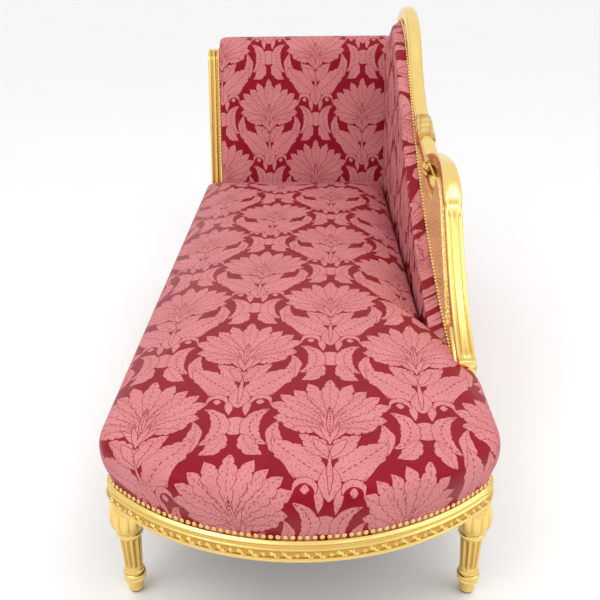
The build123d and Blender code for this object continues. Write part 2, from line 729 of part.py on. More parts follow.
with BuildPart() as head_foam:
    loft(pad_sections(COVER_THICK + STUFFING_GAP), ruled=True)
    add(pad_hollow(-2 * ROLL_RADIUS, 0), mode=Mode.SUBTRACT)
    add(top_rail_bore(STRAP_THICK + FIT), mode=Mode.SUBTRACT)
save(head_foam.part, "head_foam")

PANEL_FRONT = VOLUTE_RADIUS - POST_DEPTH
with BuildPart() as head_outside_cover:
    with BuildSketch(Plane.YZ.offset(PANEL_EDGE - FRAME_OUT)):
        with BuildLine():
            Polyline(
                leaning_at(PANEL_FRONT, HEM_BOTTOM),
                leaning(PANEL_FRONT, -ROLL_RADIUS - PANEL_EDGE),
                leaning(PANEL_FRONT - COVER_THICK, -ROLL_RADIUS - PANEL_EDGE),
                leaning_at(PANEL_FRONT - COVER_THICK, HEM_BOTTOM),
                close=True,
            )
        make_face()
    extrude(amount=2 * (FRAME_OUT - PANEL_EDGE))
    for rail in (left_seat_rail, right_seat_rail):
        add(rail.part, mode=Mode.SUBTRACT)
save(head_outside_cover.part, "head_outside_cover")

# Side back: arch moulding, arm with its fluted console, carved infill, rails and ornaments

def tangent_arcs(points, start_angle, offset=0):
    """Arcs through the points, each leaving as the last one came in, moved to the left by an offset."""
    heading = radians(start_angle)
    arcs = []
    for start, end in zip(points, points[1:]):
        chord = atan2(end[1] - start[1], end[0] - start[0])
        half_turn = (chord - heading + pi) % (2 * pi) - pi
        bulge = hypot(end[0] - start[0], end[1] - start[1]) / 2 * tan(half_turn / 2)
        middle = (
            (start[0] + end[0]) / 2 + bulge * sin(chord),
            (start[1] + end[1]) / 2 - bulge * cos(chord),
        )
        stations = zip((start, middle, end), (heading, chord, chord + half_turn))
        arcs.append([(y - offset * sin(turn), z + offset * cos(turn)) for (y, z), turn in stations])
        heading = chord + half_turn
    return arcs


def tangent_run(points, start_angle):
    """Draw the arcs that pass through the points."""
    for arc in tangent_arcs(points, start_angle):
        ThreePointArc(*arc)


ARCH_END = (VOLUTE_Y, VOLUTE_Z)
ARCH_POINTS = (ARCH_TIP, ARCH_WAIST, ARCH_RISE, ARCH_APEX, ARCH_END)
ARM_POINTS = (ARM_SPRING, ARM_CREST, ARM_KNUCKLE, CONSOLE_MID, CONSOLE_TOE)
NAIL_POINTS = (NAIL_TOE, NAIL_LOW, NAIL_MID, NAIL_HIGH, NAIL_TOP)


def moulding(points, start_angle, width, depth, middle_x):
    """A rounded moulding swept along tangent arcs in the plane of the side back."""
    with BuildPart() as swept:
        with BuildLine(Plane.YZ.offset(middle_x)) as route:
            tangent_run(points, start_angle)
        start = Plane(route.wire() @ 0, x_dir=(1, 0, 0), z_dir=route.wire() % 0)
        with BuildSketch(start) as section:
            RectangleRounded(width, depth, min(width, depth) * MOULDING_ROUND)
        sweep(section.sketch, path=route.wire())
    return swept.part


ARM_MIDDLE = FRAME_OUT - ARM_WIDTH / 2
with BuildPart() as back_arch:
    add(moulding(ARCH_POINTS, ARCH_TIP_ANGLE, FRAME_OUT - FRAME_IN, ARCH_DEPTH, FRAME_MID))
    add(head_post_right.part, mode=Mode.SUBTRACT)
back_arch_solid = save_largest(back_arch, "back_arch")

with BuildPart() as back_console:
    add(moulding(ARM_POINTS, ARM_SPRING_ANGLE, ARM_WIDTH, ARM_DEPTH, ARM_MIDDLE))
    with Locations((ARM_MIDDLE, CONSOLE_TOE[0], RAIL_TOP)):
        Box(
            ARM_WIDTH,
            CONSOLE_FOOT_LENGTH,
            CONSOLE_TOE[1] - RAIL_TOP,
            align=(Align.CENTER, Align.MIN, Align.MIN),
        )
    add(back_arch_solid, mode=Mode.SUBTRACT)
save_largest(back_console, "back_console")


def back_plate(outline, from_x, thick):
    """A flat slice of the side back, from one face towards +X."""
    return extrude(outline.moved(Location((from_x, 0, 0))), amount=thick, mode=Mode.PRIVATE)


ARCH_UNDERSIDE = tangent_arcs(ARCH_POINTS, ARCH_TIP_ANGLE, -ARCH_DEPTH / 2 - FIT)[0]
ARM_UNDERSIDE = tangent_arcs(ARM_POINTS, ARM_SPRING_ANGLE, ARM_DEPTH / 2 + FIT)[1:3]
with BuildPart() as back_infill:
    with BuildSketch(Plane.YZ.offset(FRAME_IN + FIT)):
        with BuildLine():
            Line(INFILL_TOE, NAIL_LOW)
            ThreePointArc(*tangent_arcs(NAIL_POINTS, NAIL_TOE_ANGLE)[1])
            Line(NAIL_MID, ARCH_UNDERSIDE[2])
            ThreePointArc(*ARCH_UNDERSIDE)
            Line(ARCH_UNDERSIDE[0], ARM_UNDERSIDE[0][0])
            for arc in ARM_UNDERSIDE:
                ThreePointArc(*arc)
            Line(ARM_UNDERSIDE[1][2], INFILL_TOE)
        make_face()
    extrude(amount=INFILL_THICK)
save(back_infill.part, "back_infill")

CONSOLE_HEEL_Y = CONSOLE_TOE[0] + CONSOLE_FOOT_LENGTH
RAIL_START = (Align.MAX, Align.MIN, Align.MIN)
with BuildPart() as back_bottom_rail:
    with Locations((PANEL_FACE, CONSOLE_HEEL_Y, RAIL_TOP)):
        Box(BOTTOM_RAIL_THICK, HEAD_Y - CONSOLE_HEEL_Y, BOTTOM_RAIL_HEIGHT, align=RAIL_START)
    add(head_post_right.part, mode=Mode.SUBTRACT)
save_largest(back_bottom_rail, "back_bottom_rail")

with BuildPart() as back_stile:
    with Locations((PANEL_FACE, STILE_Y, RAIL_TOP + BOTTOM_RAIL_HEIGHT)):
        Box(BOTTOM_RAIL_THICK, STILE_WIDTH, ARCH_WAIST[1] - RAIL_TOP - BOTTOM_RAIL_HEIGHT, align=RAIL_START)
    for carved in (back_arch_solid, back_infill.part):
        add(carved, mode=Mode.SUBTRACT)
back_stile_solid = save_largest(back_stile, "back_stile")


def pad_face(x, share, foot_z):
    """Outline of the side back's stuffing at X, drawn in towards its middle by a share."""
    def drawn(point):
        return tuple(c + (v - c) * share for v, c in zip(point, BACK_PAD_CENTRE))

    before_head = ROLL_RADIUS + HEAD_GAP
    corners = (
        NAIL_TOP,
        PAD_HEAD_TOP,
        leaning_at(before_head, PAD_HEAD_LOW, ROLL_AXIS),
        leaning_at(before_head, foot_z, ROLL_AXIS),
        (NAIL_TOE[0] + PAD_TOE_RUN, foot_z),
        NAIL_TOE,
    )
    with BuildSketch(Plane.YZ.offset(x)) as outline:
        with BuildLine():
            tangent_run([drawn(point) for point in NAIL_POINTS], NAIL_TOE_ANGLE)
            Polyline(*[drawn(point) for point in corners])
        make_face()
    return outline.sketch


def back_pad(skin, scale):
    """The side back's stuffing: full at its edges, crowned towards the seat."""
    depth = BACK_PAD_DEPTH - skin
    return [
        pad_face(FRAME_IN - FIT - depth * part, share * scale, HESSIAN_TOP + FIT)
        for part, share in BACK_PAD_STEPS
    ]


with BuildPart() as back_straps:
    add(back_plate(pad_face(0, BACK_SKIN_SCALE**2, HESSIAN_TOP + FIT), FRAME_IN - STRAP_THICK, STRAP_THICK))
    with Locations(*[(FRAME_IN, y, RAIL_TOP) for y in BACK_STRAP_YS]):
        Box(STRAP_WIDTH, STRAP_WIDTH, 2 * ROLL_Z, mode=Mode.INTERSECT)
save(back_straps.part, "back_straps")

with BuildPart() as back_cover:
    loft(back_pad(0, 1), ruled=True)
    inside = back_pad(COVER_THICK, BACK_SKIN_SCALE)
    loft([inside[0].moved(Location((COVER_THICK, 0, 0))), *inside[1:]], ruled=True, mode=Mode.SUBTRACT)
save(back_cover.part, "back_cover")

with BuildPart() as back_foam:
    loft(back_pad(COVER_THICK + STUFFING_GAP, BACK_SKIN_SCALE**2), ruled=True)
    add(back_straps.part, mode=Mode.SUBTRACT)
save(back_foam.part, "back_foam")

with BuildPart() as back_outside_cover:
    add(back_plate(pad_face(0, 1, HEM_BOTTOM), PANEL_FACE, COVER_THICK))
    with Locations((PANEL_FACE, CONSOLE_HEEL_Y, RAIL_TOP)):
        Box(
            RAIL_THICK,
            2 * RAIL_THICK,
            RAIL_TOP,
            align=(Align.CENTER, Align.MAX, Align.CENTER),
            mode=Mode.SUBTRACT,
        )
    for carved in (back_arch_solid, head_post_right.part):
        add(carved, mode=Mode.SUBTRACT)
back_outside_solid = save_largest(back_outside_cover, "back_outside_cover")

# Carved ornaments on the side back

with BuildPart() as back_leaf:
    add(
        moulding(
            ARCH_POINTS,
            ARCH_TIP_ANGLE,
            FRAME_OUT - FRAME_IN + LEAF_SWELL / 2,
            ARCH_DEPTH + 2 * LEAF_SWELL,
            FRAME_MID + LEAF_SWELL / 4,
        )
    )
    with Locations((FRAME_MID, LEAF_Y, ARCH_WAIST[1])):
        Box(2 * ROLL_RADIUS, LEAF_LENGTH, 2 * ROLL_RADIUS, mode=Mode.INTERSECT)
    for carved in (back_arch_solid, back_infill.part, back_outside_solid, back_stile_solid):
        add(carved, mode=Mode.SUBTRACT)
save_largest(back_leaf, "back_leaf")

with BuildPart(Plane(origin=(FRAME_IN - FIT, *ROSETTE_AT), z_dir=(-1, 0, 0))) as back_rosette:
    Cone(BERRY_RADIUS, BERRY_TIP, BERRY_HEIGHT, align=(Align.CENTER, Align.CENTER, Align.MIN))
    with PolarLocations(PETAL_RING, PETAL_COUNT):
        Cone(PETAL_RADIUS, PETAL_TIP, PETAL_HEIGHT, align=(Align.CENTER, Align.CENTER, Align.MIN))
save(back_rosette.part, "back_rosette")

# Close nailing along every hem, pressed as strips of domes

def strip_section(plane):
    """Half round section of a nail strip, swelling along the plane's first axis."""
    with BuildSketch(plane) as section:
        with BuildLine():
            Line((0, -NAIL_RADIUS), (0, NAIL_RADIUS))
            ThreePointArc((0, NAIL_RADIUS), (NAIL_HEIGHT, 0), (0, -NAIL_RADIUS))
        make_face()
    return section.sketch


NAIL_Z = (RAIL_TOP + HEM_BOTTOM) / 2
with BuildPart() as seat_nail_strip:
    with BuildLine(Plane.XY.offset(NAIL_Z)) as seat_nail_line:
        draw_bow(
            HALF_WIDTH - HEM_INSET + FIT,
            FOOT_Y + HEM_INSET - FIT,
            BOW_RADIUS - HEM_INSET + FIT,
            CORNER_RADIUS - HEM_INSET + FIT,
            SEAT_HEAD_Y - SEAT_CORNER_RADIUS - HEM_INSET,
            NOTCH_Y - NOTCH_RADIUS - HEM_INSET,
        )
    seat_route = seat_nail_line.wire()
    sweep(strip_section(Plane(seat_route @ 0, x_dir=(-1, 0, 0), z_dir=seat_route % 0)), path=seat_route)
save(seat_nail_strip.part, "seat_nail_strip")

with BuildPart() as head_nail_strip:
    with BuildLine(Plane.YZ.offset(-FRAME_IN - NAIL_RADIUS - FIT)) as head_nail_line:
        slant = VOLUTE_RADIUS * sqrt(0.5)
        Line(leaning_at(VOLUTE_RADIUS, HESSIAN_TOP), leaning(VOLUTE_RADIUS, 0))
        ThreePointArc(leaning(VOLUTE_RADIUS, 0), leaning(slant, slant), leaning(0, VOLUTE_RADIUS))
    head_route = head_nail_line.wire()
    sweep(
        strip_section(Plane(head_route @ 0, x_dir=(0, -cos(LEAN), sin(LEAN)), z_dir=head_route % 0)),
        path=head_route,
    )
    add(head_post_left.part, mode=Mode.SUBTRACT)
save_largest(head_nail_strip, "head_nail_strip")

with BuildPart() as back_nail_strip:
    with BuildLine(Plane.YZ.offset(FRAME_IN)) as back_nail_line:
        tangent_run([(y, z + NAIL_LIFT) for y, z in NAIL_POINTS], NAIL_TOE_ANGLE)
    back_route = back_nail_line.wire()
    sweep(strip_section(Plane(back_route @ 0, x_dir=(-1, 0, 0), z_dir=back_route % 0)), path=back_route)
save(back_nail_strip.part, "back_nail_strip")

HEM_FACE = PANEL_FACE + COVER_THICK
with BuildPart() as back_hem_strip:
    extrude(
        strip_section(Plane((HEM_FACE, CONSOLE_HEEL_Y, NAIL_Z), x_dir=(1, 0, 0), z_dir=(0, 1, 0))),
        amount=SEAT_HEAD_Y - CONSOLE_HEEL_Y,
    )
save(back_hem_strip.part, "back_hem_strip")

with BuildPart() as head_hem_strip:
    hem_start = (-RAIL_INNER, *leaning_at(PANEL_FRONT - COVER_THICK, NAIL_Z))
    extrude(
        strip_section(Plane(hem_start, x_dir=(0, cos(LEAN), -sin(LEAN)), z_dir=(1, 0, 0))),
        amount=2 * RAIL_INNER,
    )
save(head_hem_strip.part, "head_hem_strip")
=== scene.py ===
# %% [markdown]
# # A gilt meridienne
# A meridienne is a daybed with a headrest at one end and a side back that falls in a curve towards the
# foot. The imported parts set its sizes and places. This lesson gives them their looks: cushions in damask,
# rows of domed nails, carved and gilded wood, a camera and a studio. Everything is in metres, in the
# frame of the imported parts: +Y runs to the headrest and Z is up.

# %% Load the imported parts
import json
import math
from functools import partial

import bpy
import numpy as np
from mathutils import Matrix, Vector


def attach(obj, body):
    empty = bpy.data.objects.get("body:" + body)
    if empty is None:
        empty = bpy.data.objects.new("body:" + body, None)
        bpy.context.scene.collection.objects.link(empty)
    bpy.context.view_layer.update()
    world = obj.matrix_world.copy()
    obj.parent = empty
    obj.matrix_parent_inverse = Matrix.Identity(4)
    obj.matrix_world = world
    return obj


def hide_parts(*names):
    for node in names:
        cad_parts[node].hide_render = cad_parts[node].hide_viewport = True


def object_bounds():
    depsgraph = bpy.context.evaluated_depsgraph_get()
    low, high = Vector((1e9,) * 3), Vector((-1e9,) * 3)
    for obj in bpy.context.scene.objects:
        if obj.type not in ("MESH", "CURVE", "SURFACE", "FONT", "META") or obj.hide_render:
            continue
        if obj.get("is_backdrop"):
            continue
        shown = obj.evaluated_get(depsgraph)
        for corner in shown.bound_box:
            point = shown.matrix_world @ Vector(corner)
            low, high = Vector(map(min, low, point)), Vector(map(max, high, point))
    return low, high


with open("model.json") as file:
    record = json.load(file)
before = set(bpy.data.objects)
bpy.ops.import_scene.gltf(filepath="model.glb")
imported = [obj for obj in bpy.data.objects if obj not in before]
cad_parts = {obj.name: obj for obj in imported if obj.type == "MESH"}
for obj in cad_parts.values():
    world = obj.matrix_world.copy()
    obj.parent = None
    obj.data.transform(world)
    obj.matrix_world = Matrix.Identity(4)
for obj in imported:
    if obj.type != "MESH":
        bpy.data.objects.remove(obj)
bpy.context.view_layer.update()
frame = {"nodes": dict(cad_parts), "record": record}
nodes = frame["nodes"]
print("packed parts:", len(nodes))

# %% [markdown]
# ## Sizes
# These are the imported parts' own sizes, so that every new piece fits where a packed one stood. They could
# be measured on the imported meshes, but named values are easier to follow.

# %% Shared sizes
MM = 0.001
HALF_WIDTH = 0.330  # outer faces of the seat rails
FOOT_Y = -0.948
BOW_RADIUS = 0.444
CORNER_RADIUS = 0.062
SPLICE_Y = -0.690  # where the foot rail meets the side rails
HEAD_Y = 0.800
RAIL_TOP = 0.270
RAIL_THICK = 0.050
FRAME_IN = 0.286  # inner and outer faces of the posts and the side back
FRAME_OUT = 0.326
SEAT_FLOOR = 0.2753  # where the stuffing starts, on the hessian
HEM_Z = 0.2545  # where the covers end on the rails
NAIL_Z = 0.262
CLEAR = 0.0003  # left between a cover and the wood beside it
LEAN = math.radians(12)
ROLL = (0.886, 0.736)  # axis of the headrest's roll, as Y and Z
ROLL_RADIUS = 0.064
VOLUTE = (0.882, 0.722)  # axis of the posts' scrolls
VOLUTE_RADIUS = 0.042
POST_DEPTH = 0.048
print("seat frame:", 2 * HALF_WIDTH, "by", round(HEAD_Y - FOOT_Y, 3))

# %% [markdown]
# ## Mesh helpers
# Stuffed covers, mouldings and turned legs are all skins over a row of sections. They could be modelled
# by hand in Edit Mode. Here each is a grid of points, because a formula can then carve it. A point can
# carry its place in the cloth's pattern, and its relief, which is how far it stands out of the carving's
# ground.

# %% Pieces from points
def new_object(name, data):
    thing = bpy.data.objects.new(name, data)
    bpy.context.scene.collection.objects.link(thing)
    return thing


def new_piece(name, points, faces, material, pattern=None, relief=None):
    """A smooth mesh object, with an optional place in the pattern and relief at each point."""
    mesh = bpy.data.meshes.new(name)
    mesh.from_pydata([tuple(p) for p in points], [], faces)
    mesh.polygons.foreach_set("use_smooth", [True] * len(mesh.polygons))
    if pattern is not None:
        layer = mesh.uv_layers.new(name="pattern")
        at = np.zeros(len(mesh.loops), np.int32)
        mesh.loops.foreach_get("vertex_index", at)
        layer.data.foreach_set("uv", np.asarray(pattern, np.float32)[at].ravel())
    if relief is not None:
        carved = mesh.attributes.new("relief", "FLOAT", "POINT")
        carved.data.foreach_set("value", np.asarray(relief, np.float32))
    mesh.validate()
    mesh.materials.append(material)
    return new_object(name, mesh)


def grid_faces(rows, columns, closed=False):
    """Quads of a grid listed row by row. A closed grid joins its last column to its first."""
    r = np.arange(rows - 1)
    c = np.arange(columns if closed else columns - 1)
    r, c = [a.ravel() for a in np.meshgrid(r, c, indexing="ij")]
    beside = (c + 1) % columns
    low, high = r * columns, (r + 1) * columns
    return np.stack([low + c, low + beside, high + beside, high + c], 1).tolist()


def tube(name, sections, material, pattern=None, relief=None):
    """A closed body from a row of closed sections, with a flat cap at each end."""
    rows, columns, _ = sections.shape
    faces = grid_faces(rows, columns, closed=True)
    faces.append(list(range(columns))[::-1])
    faces.append([(rows - 1) * columns + i for i in range(columns)])
    if pattern is not None:
        pattern = pattern.reshape(-1, 2)
    if relief is not None:
        relief = relief.ravel()
    return new_piece(name, sections.reshape(-1, 3), faces, material, pattern, relief)


def stand_in(piece, slot, *packed):
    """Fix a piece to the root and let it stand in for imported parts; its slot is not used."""
    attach(piece, "root")
    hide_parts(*packed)


print("mesh helpers ready")

# %% [markdown]
# Edges and mouldings follow runs of points. A run can be softened, spaced evenly and measured. A smooth
# step is how one form of a carving fades into the next.

# %% Measures along runs
def smooth_step(low, high, x):
    t = np.clip((x - low) / (high - low), 0, 1)
    return t * t * (3 - 2 * t)


def soften(rows, passes):
    """Rows of points, each drawn towards the mean of its two neighbours, with the first and last kept."""
    rows = rows.copy()
    for _ in range(passes):
        rows[1:-1] = rows[1:-1] * 0.5 + (rows[:-2] + rows[2:]) * 0.25
    return rows


def distances(run):
    """How far along a run each of its points lies."""
    return np.concatenate([[0], np.cumsum(np.linalg.norm(np.diff(run, axis=0), axis=1))])


def even_run(run, spacing):
    """The same run with evenly spaced points."""
    travel = distances(run)
    at = np.linspace(0, travel[-1], int(travel[-1] / spacing))
    return np.stack([np.interp(at, travel, run[:, i]) for i in range(2)], 1)


def right_of(ahead):
    """Unit vectors to the right of directions in a plane."""
    right = np.stack([ahead[:, 1], -ahead[:, 0]], 1)
    return right / np.maximum(np.linalg.norm(right, axis=1), 1e-9)[:, None]


print("run helpers ready")

# %% [markdown]
# ## Gilding, nails, wood and plain cloths
# A material is a tree of nodes. Trees are often drawn in the Shader Editor, but a script can be read and
# run again. These helpers add a node, give its inputs values or links, and return what it puts out.

# %% Node helpers
def feed(tree, node, inputs):
    """Set a node's inputs, each to a value or to the output of another node."""
    for key, value in inputs.items():
        socket = node.inputs[key]
        if isinstance(value, bpy.types.NodeSocket):
            tree.links.new(value, socket)
        elif socket.type == "RGBA":
            socket.default_value = (*value, 1)
        else:
            socket.default_value = value


def add_node(tree, kind, inputs=None, **settings):
    node = tree.nodes.new(kind)
    for key, value in settings.items():
        setattr(node, key, value)
    feed(tree, node, inputs or {})
    return node


def math_node(tree, operation, *inputs):
    """A Math node's result: each input is a number or the output of another node."""
    return add_node(tree, "ShaderNodeMath", dict(enumerate(inputs)), operation=operation).outputs[0]


def blend(tree, share, first, second):
    """A colour between two: each is a colour or the output of another node."""
    inputs = {"Factor": share, "A": first, "B": second}
    return add_node(tree, "ShaderNodeMix", inputs, data_type="RGBA").outputs["Result"]


def noise(tree, place, scale, detail=3.0):
    inputs = {"Vector": place, "Scale": scale, "Detail": detail}
    return add_node(tree, "ShaderNodeTexNoise", inputs).outputs["Fac"]


def bump(tree, height, distance, strength=1.0):
    inputs = {"Height": height, "Distance": distance, "Strength": strength}
    return add_node(tree, "ShaderNodeBump", inputs).outputs["Normal"]


def object_place(tree):
    return add_node(tree, "ShaderNodeTexCoord").outputs["Object"]


def pattern_place(tree):
    return add_node(tree, "ShaderNodeUVMap", uv_map="pattern").outputs["UV"]


def new_material(name):
    material = bpy.data.materials.new(name)
    material.use_nodes = True
    return material, material.node_tree, material.node_tree.nodes["Principled BSDF"]


print("node helpers ready")

# %% [markdown]
# Gilding is gold leaf over carved wood: a metal with a warm colour, which deepens to ochre in the
# hollows. A painted texture could show this, but the relief attribute already says where the hollows are.
# Noise breaks up the polish. The infill of the side back is paler, and its ground is punched, so it gets
# small cells as bump.

# %% Gold
LEAF_GOLD = (0.86, 0.60, 0.17), (0.95, 0.72, 0.28)
PALE_GOLD = (0.98, 0.70, 0.24), (1.00, 0.82, 0.40)
OCHRE = (0.50, 0.25, 0.035)


def gold_material(name, tones, carved=False, punched=False):
    material, tree, shader = new_material(name)
    place = object_place(tree)
    colour = blend(tree, noise(tree, place, 38.0, 4.0), *tones)
    if carved:
        relief = add_node(tree, "ShaderNodeAttribute", attribute_name="relief").outputs["Fac"]
        colour = blend(tree, relief, OCHRE, colour)
    if punched:
        cells = add_node(tree, "ShaderNodeTexVoronoi", {"Vector": place, "Scale": 190.0})
        normal = bump(tree, cells.outputs["Distance"], 0.0012)
    else:
        normal = bump(tree, noise(tree, place, 60.0), 0.0003, 0.3)
    feed(tree, shader, {
        "Base Color": colour,
        "Metallic": 0.6 if punched else 1.0,
        "Roughness": math_node(tree, "MULTIPLY_ADD", noise(tree, place, 90.0), 0.22, 0.14),
        "Normal": normal,
    })
    return material


gold = gold_material("gold", LEAF_GOLD)
gold_carved = gold_material("gold_carved", LEAF_GOLD, carved=True)
gold_punched = gold_material("gold_punched", PALE_GOLD, punched=True)
print("gold materials made")

# %% [markdown]
# Nails are brass, the inner timber is planed beech, screws and bolts are steel, and the legs stand on
# dark glides. Each is a noise between two tones. Beech stretches its noise along Y, which gives long
# grain.

# %% Brass, beech, steel and glides
def mottled(name, tones, scale, detail, metallic, rough, stretch=(1, 1, 1)):
    """A finish between two tones. Its roughness spreads upwards from a least value."""
    material, tree, shader = new_material(name)
    place = add_node(tree, "ShaderNodeMapping", {"Vector": object_place(tree), "Scale": stretch})
    mottle = noise(tree, place.outputs["Vector"], scale, detail)
    spread, least = rough
    feed(tree, shader, {
        "Base Color": blend(tree, mottle, *tones),
        "Metallic": metallic,
        "Roughness": math_node(tree, "MULTIPLY_ADD", mottle, spread, least),
    })
    return material


brass = mottled("nail_brass", ((0.62, 0.38, 0.10), (0.92, 0.68, 0.30)), 120.0, 3.0, 1.0, (0.2, 0.16))
beech = mottled("beech", ((0.42, 0.27, 0.14), (0.68, 0.50, 0.31)), 1.0, 6.0, 0.0, (0.2, 0.5), (60, 4, 60))
steel = mottled("steel", ((0.40, 0.40, 0.41), (0.62, 0.62, 0.63)), 400.0, 2.0, 1.0, (0.15, 0.3))
glide = mottled("glide", ((0.05, 0.045, 0.04), (0.11, 0.10, 0.09)), 300.0, 2.0, 0.0, (0.15, 0.5))
print("brass, beech, steel and glides made")

# %% [markdown]
# Webbing, hessian and dust cloth are plain weaves. Single threads would need millions of faces, so two
# sets of waves cross on the piece's own pattern layer, which here is measured in metres.

# %% Plain cloths
def woven(name, tones, threads):
    material, tree, shader = new_material(name)
    calc = partial(math_node, tree)
    place = add_node(tree, "ShaderNodeSeparateXYZ", {0: pattern_place(tree)}).outputs
    across = calc("SINE", calc("MULTIPLY", place["X"], threads))
    along = calc("SINE", calc("MULTIPLY", place["Y"], threads))
    weave = calc("MULTIPLY_ADD", calc("MULTIPLY", across, along), 0.5, 0.5)
    feed(tree, shader, {
        "Base Color": blend(tree, weave, *tones),
        "Roughness": 0.9,
        "Normal": bump(tree, weave, 0.0005),
    })
    return material


dust_cloth = woven("dust_cloth", ((0.012, 0.012, 0.012), (0.03, 0.03, 0.03)), 5000.0)
hessian = woven("hessian", ((0.20, 0.14, 0.08), (0.42, 0.32, 0.20)), 3000.0)
webbing = woven("webbing", ((0.25, 0.18, 0.10), (0.50, 0.40, 0.26)), 2500.0)
print("plain cloths made")

# %% [markdown]
# ## Damask
# Damask is woven with one large figure that repeats over the whole cloth. An image could carry it, but
# nodes stay sharp at any size. The figure is drawn with curved leaves. A leaf lies along an arc from its
# root to its tip, swells and narrows, and can have a toothed edge and a dotted vein. Each leaf clears a
# thin line of ground around itself, so that leaves drawn later lie over earlier ones. Lengths in the
# figure are in millimetres.

# %% The leaf group
def figure_group(name, numbers=()):
    """A node group from a place and some numbers to a figure: 1 where raised, 0 on the ground."""
    group = bpy.data.node_groups.new(name, "ShaderNodeTree")
    group.interface.new_socket("Place", in_out="INPUT", socket_type="NodeSocketVector")
    for label in numbers:
        group.interface.new_socket(label, in_out="INPUT", socket_type="NodeSocketFloat")
    group.interface.new_socket("Figure", in_out="OUTPUT", socket_type="NodeSocketFloat")
    return group, group.nodes.new("NodeGroupInput").outputs, group.nodes.new("NodeGroupOutput")


LEAF_NUMBERS = ("Figure", "Centre X", "Centre Y", "Radius", "Start", "Turn", "Sweep", "Half width",
                "Fullness", "Teeth", "Bite", "Vein")
GAP = 1.1  # ground cleared round a leaf
EDGE = 0.5  # softness of a leaf's edge
VEIN_HALF = 1.2
VEIN_DOTS = 11
DOT_SHARE = 0.55
TIP = 0.02  # a swell below this is past the leaf's ends

leaf_group, given, result = figure_group("damask_leaf", LEAF_NUMBERS)
calc = partial(math_node, leaf_group)
place = add_node(leaf_group, "ShaderNodeSeparateXYZ", {0: given["Place"]}).outputs
dx = calc("SUBTRACT", place["X"], given["Centre X"])
dy = calc("SUBTRACT", place["Y"], given["Centre Y"])
distance = calc("SQRT", calc("MULTIPLY_ADD", dx, dx, calc("MULTIPLY", dy, dy)))
from_start = calc("SUBTRACT", calc("ARCTAN2", dy, dx), given["Start"])
turned = calc("WRAP", calc("MULTIPLY", from_start, given["Turn"]), 2 * math.pi, 0.0)
along = calc("MINIMUM", calc("DIVIDE", turned, given["Sweep"]), 1.0)
swell = calc("SINE", calc("MULTIPLY", calc("POWER", along, given["Fullness"]), math.pi))
on_leaf = calc("GREATER_THAN", swell, TIP)
print("leaf axis nodes:", len(leaf_group.nodes))

# %% [markdown]
# Across its axis, a leaf ends where its width ends. Teeth bite into that width, and dots of ground run
# along the vein.

# %% The leaf's edge and vein
waves = calc("SINE", calc("MULTIPLY", calc("MULTIPLY", along, given["Teeth"]), math.pi))
notch = calc("SUBTRACT", 1.0, calc("ABSOLUTE", waves))
bites = calc("MULTIPLY", calc("MULTIPLY", notch, notch), given["Bite"])
toothed = calc("MULTIPLY", swell, calc("SUBTRACT", 1.0, bites))
off_axis = calc("ABSOLUTE", calc("SUBTRACT", distance, given["Radius"]))
inside = calc("SUBTRACT", calc("MULTIPLY", toothed, given["Half width"]), off_axis)
body = calc("MULTIPLY_ADD", inside, 0.5 / EDGE, 0.5)
body = calc("MINIMUM", calc("MAXIMUM", body, 0.0), 1.0)
dots = calc("LESS_THAN", calc("FRACT", calc("MULTIPLY", along, VEIN_DOTS)), DOT_SHARE)
vein = calc("MULTIPLY", calc("LESS_THAN", off_axis, VEIN_HALF), dots)
body = calc("MULTIPLY", body, calc("SUBTRACT", 1.0, calc("MULTIPLY", vein, given["Vein"])))
body = calc("MULTIPLY", body, on_leaf)
cleared = calc("MULTIPLY", calc("GREATER_THAN", inside, -GAP), on_leaf)
kept = calc("MULTIPLY", given["Figure"], calc("SUBTRACT", 1.0, cleared))
feed(leaf_group, result, {"Figure": calc("MAXIMUM", kept, body)})
print("leaf group nodes:", len(leaf_group.nodes))

# %% [markdown]
# One motif stands in each cell of the repeat, and is the same on both sides of its axis, so only the
# right half is listed. Each leaf has its root and tip in millimetres from the star at the motif's foot,
# how far its arc bows to the left, its half width, fullness (above 1 swells late), teeth, bite and vein.

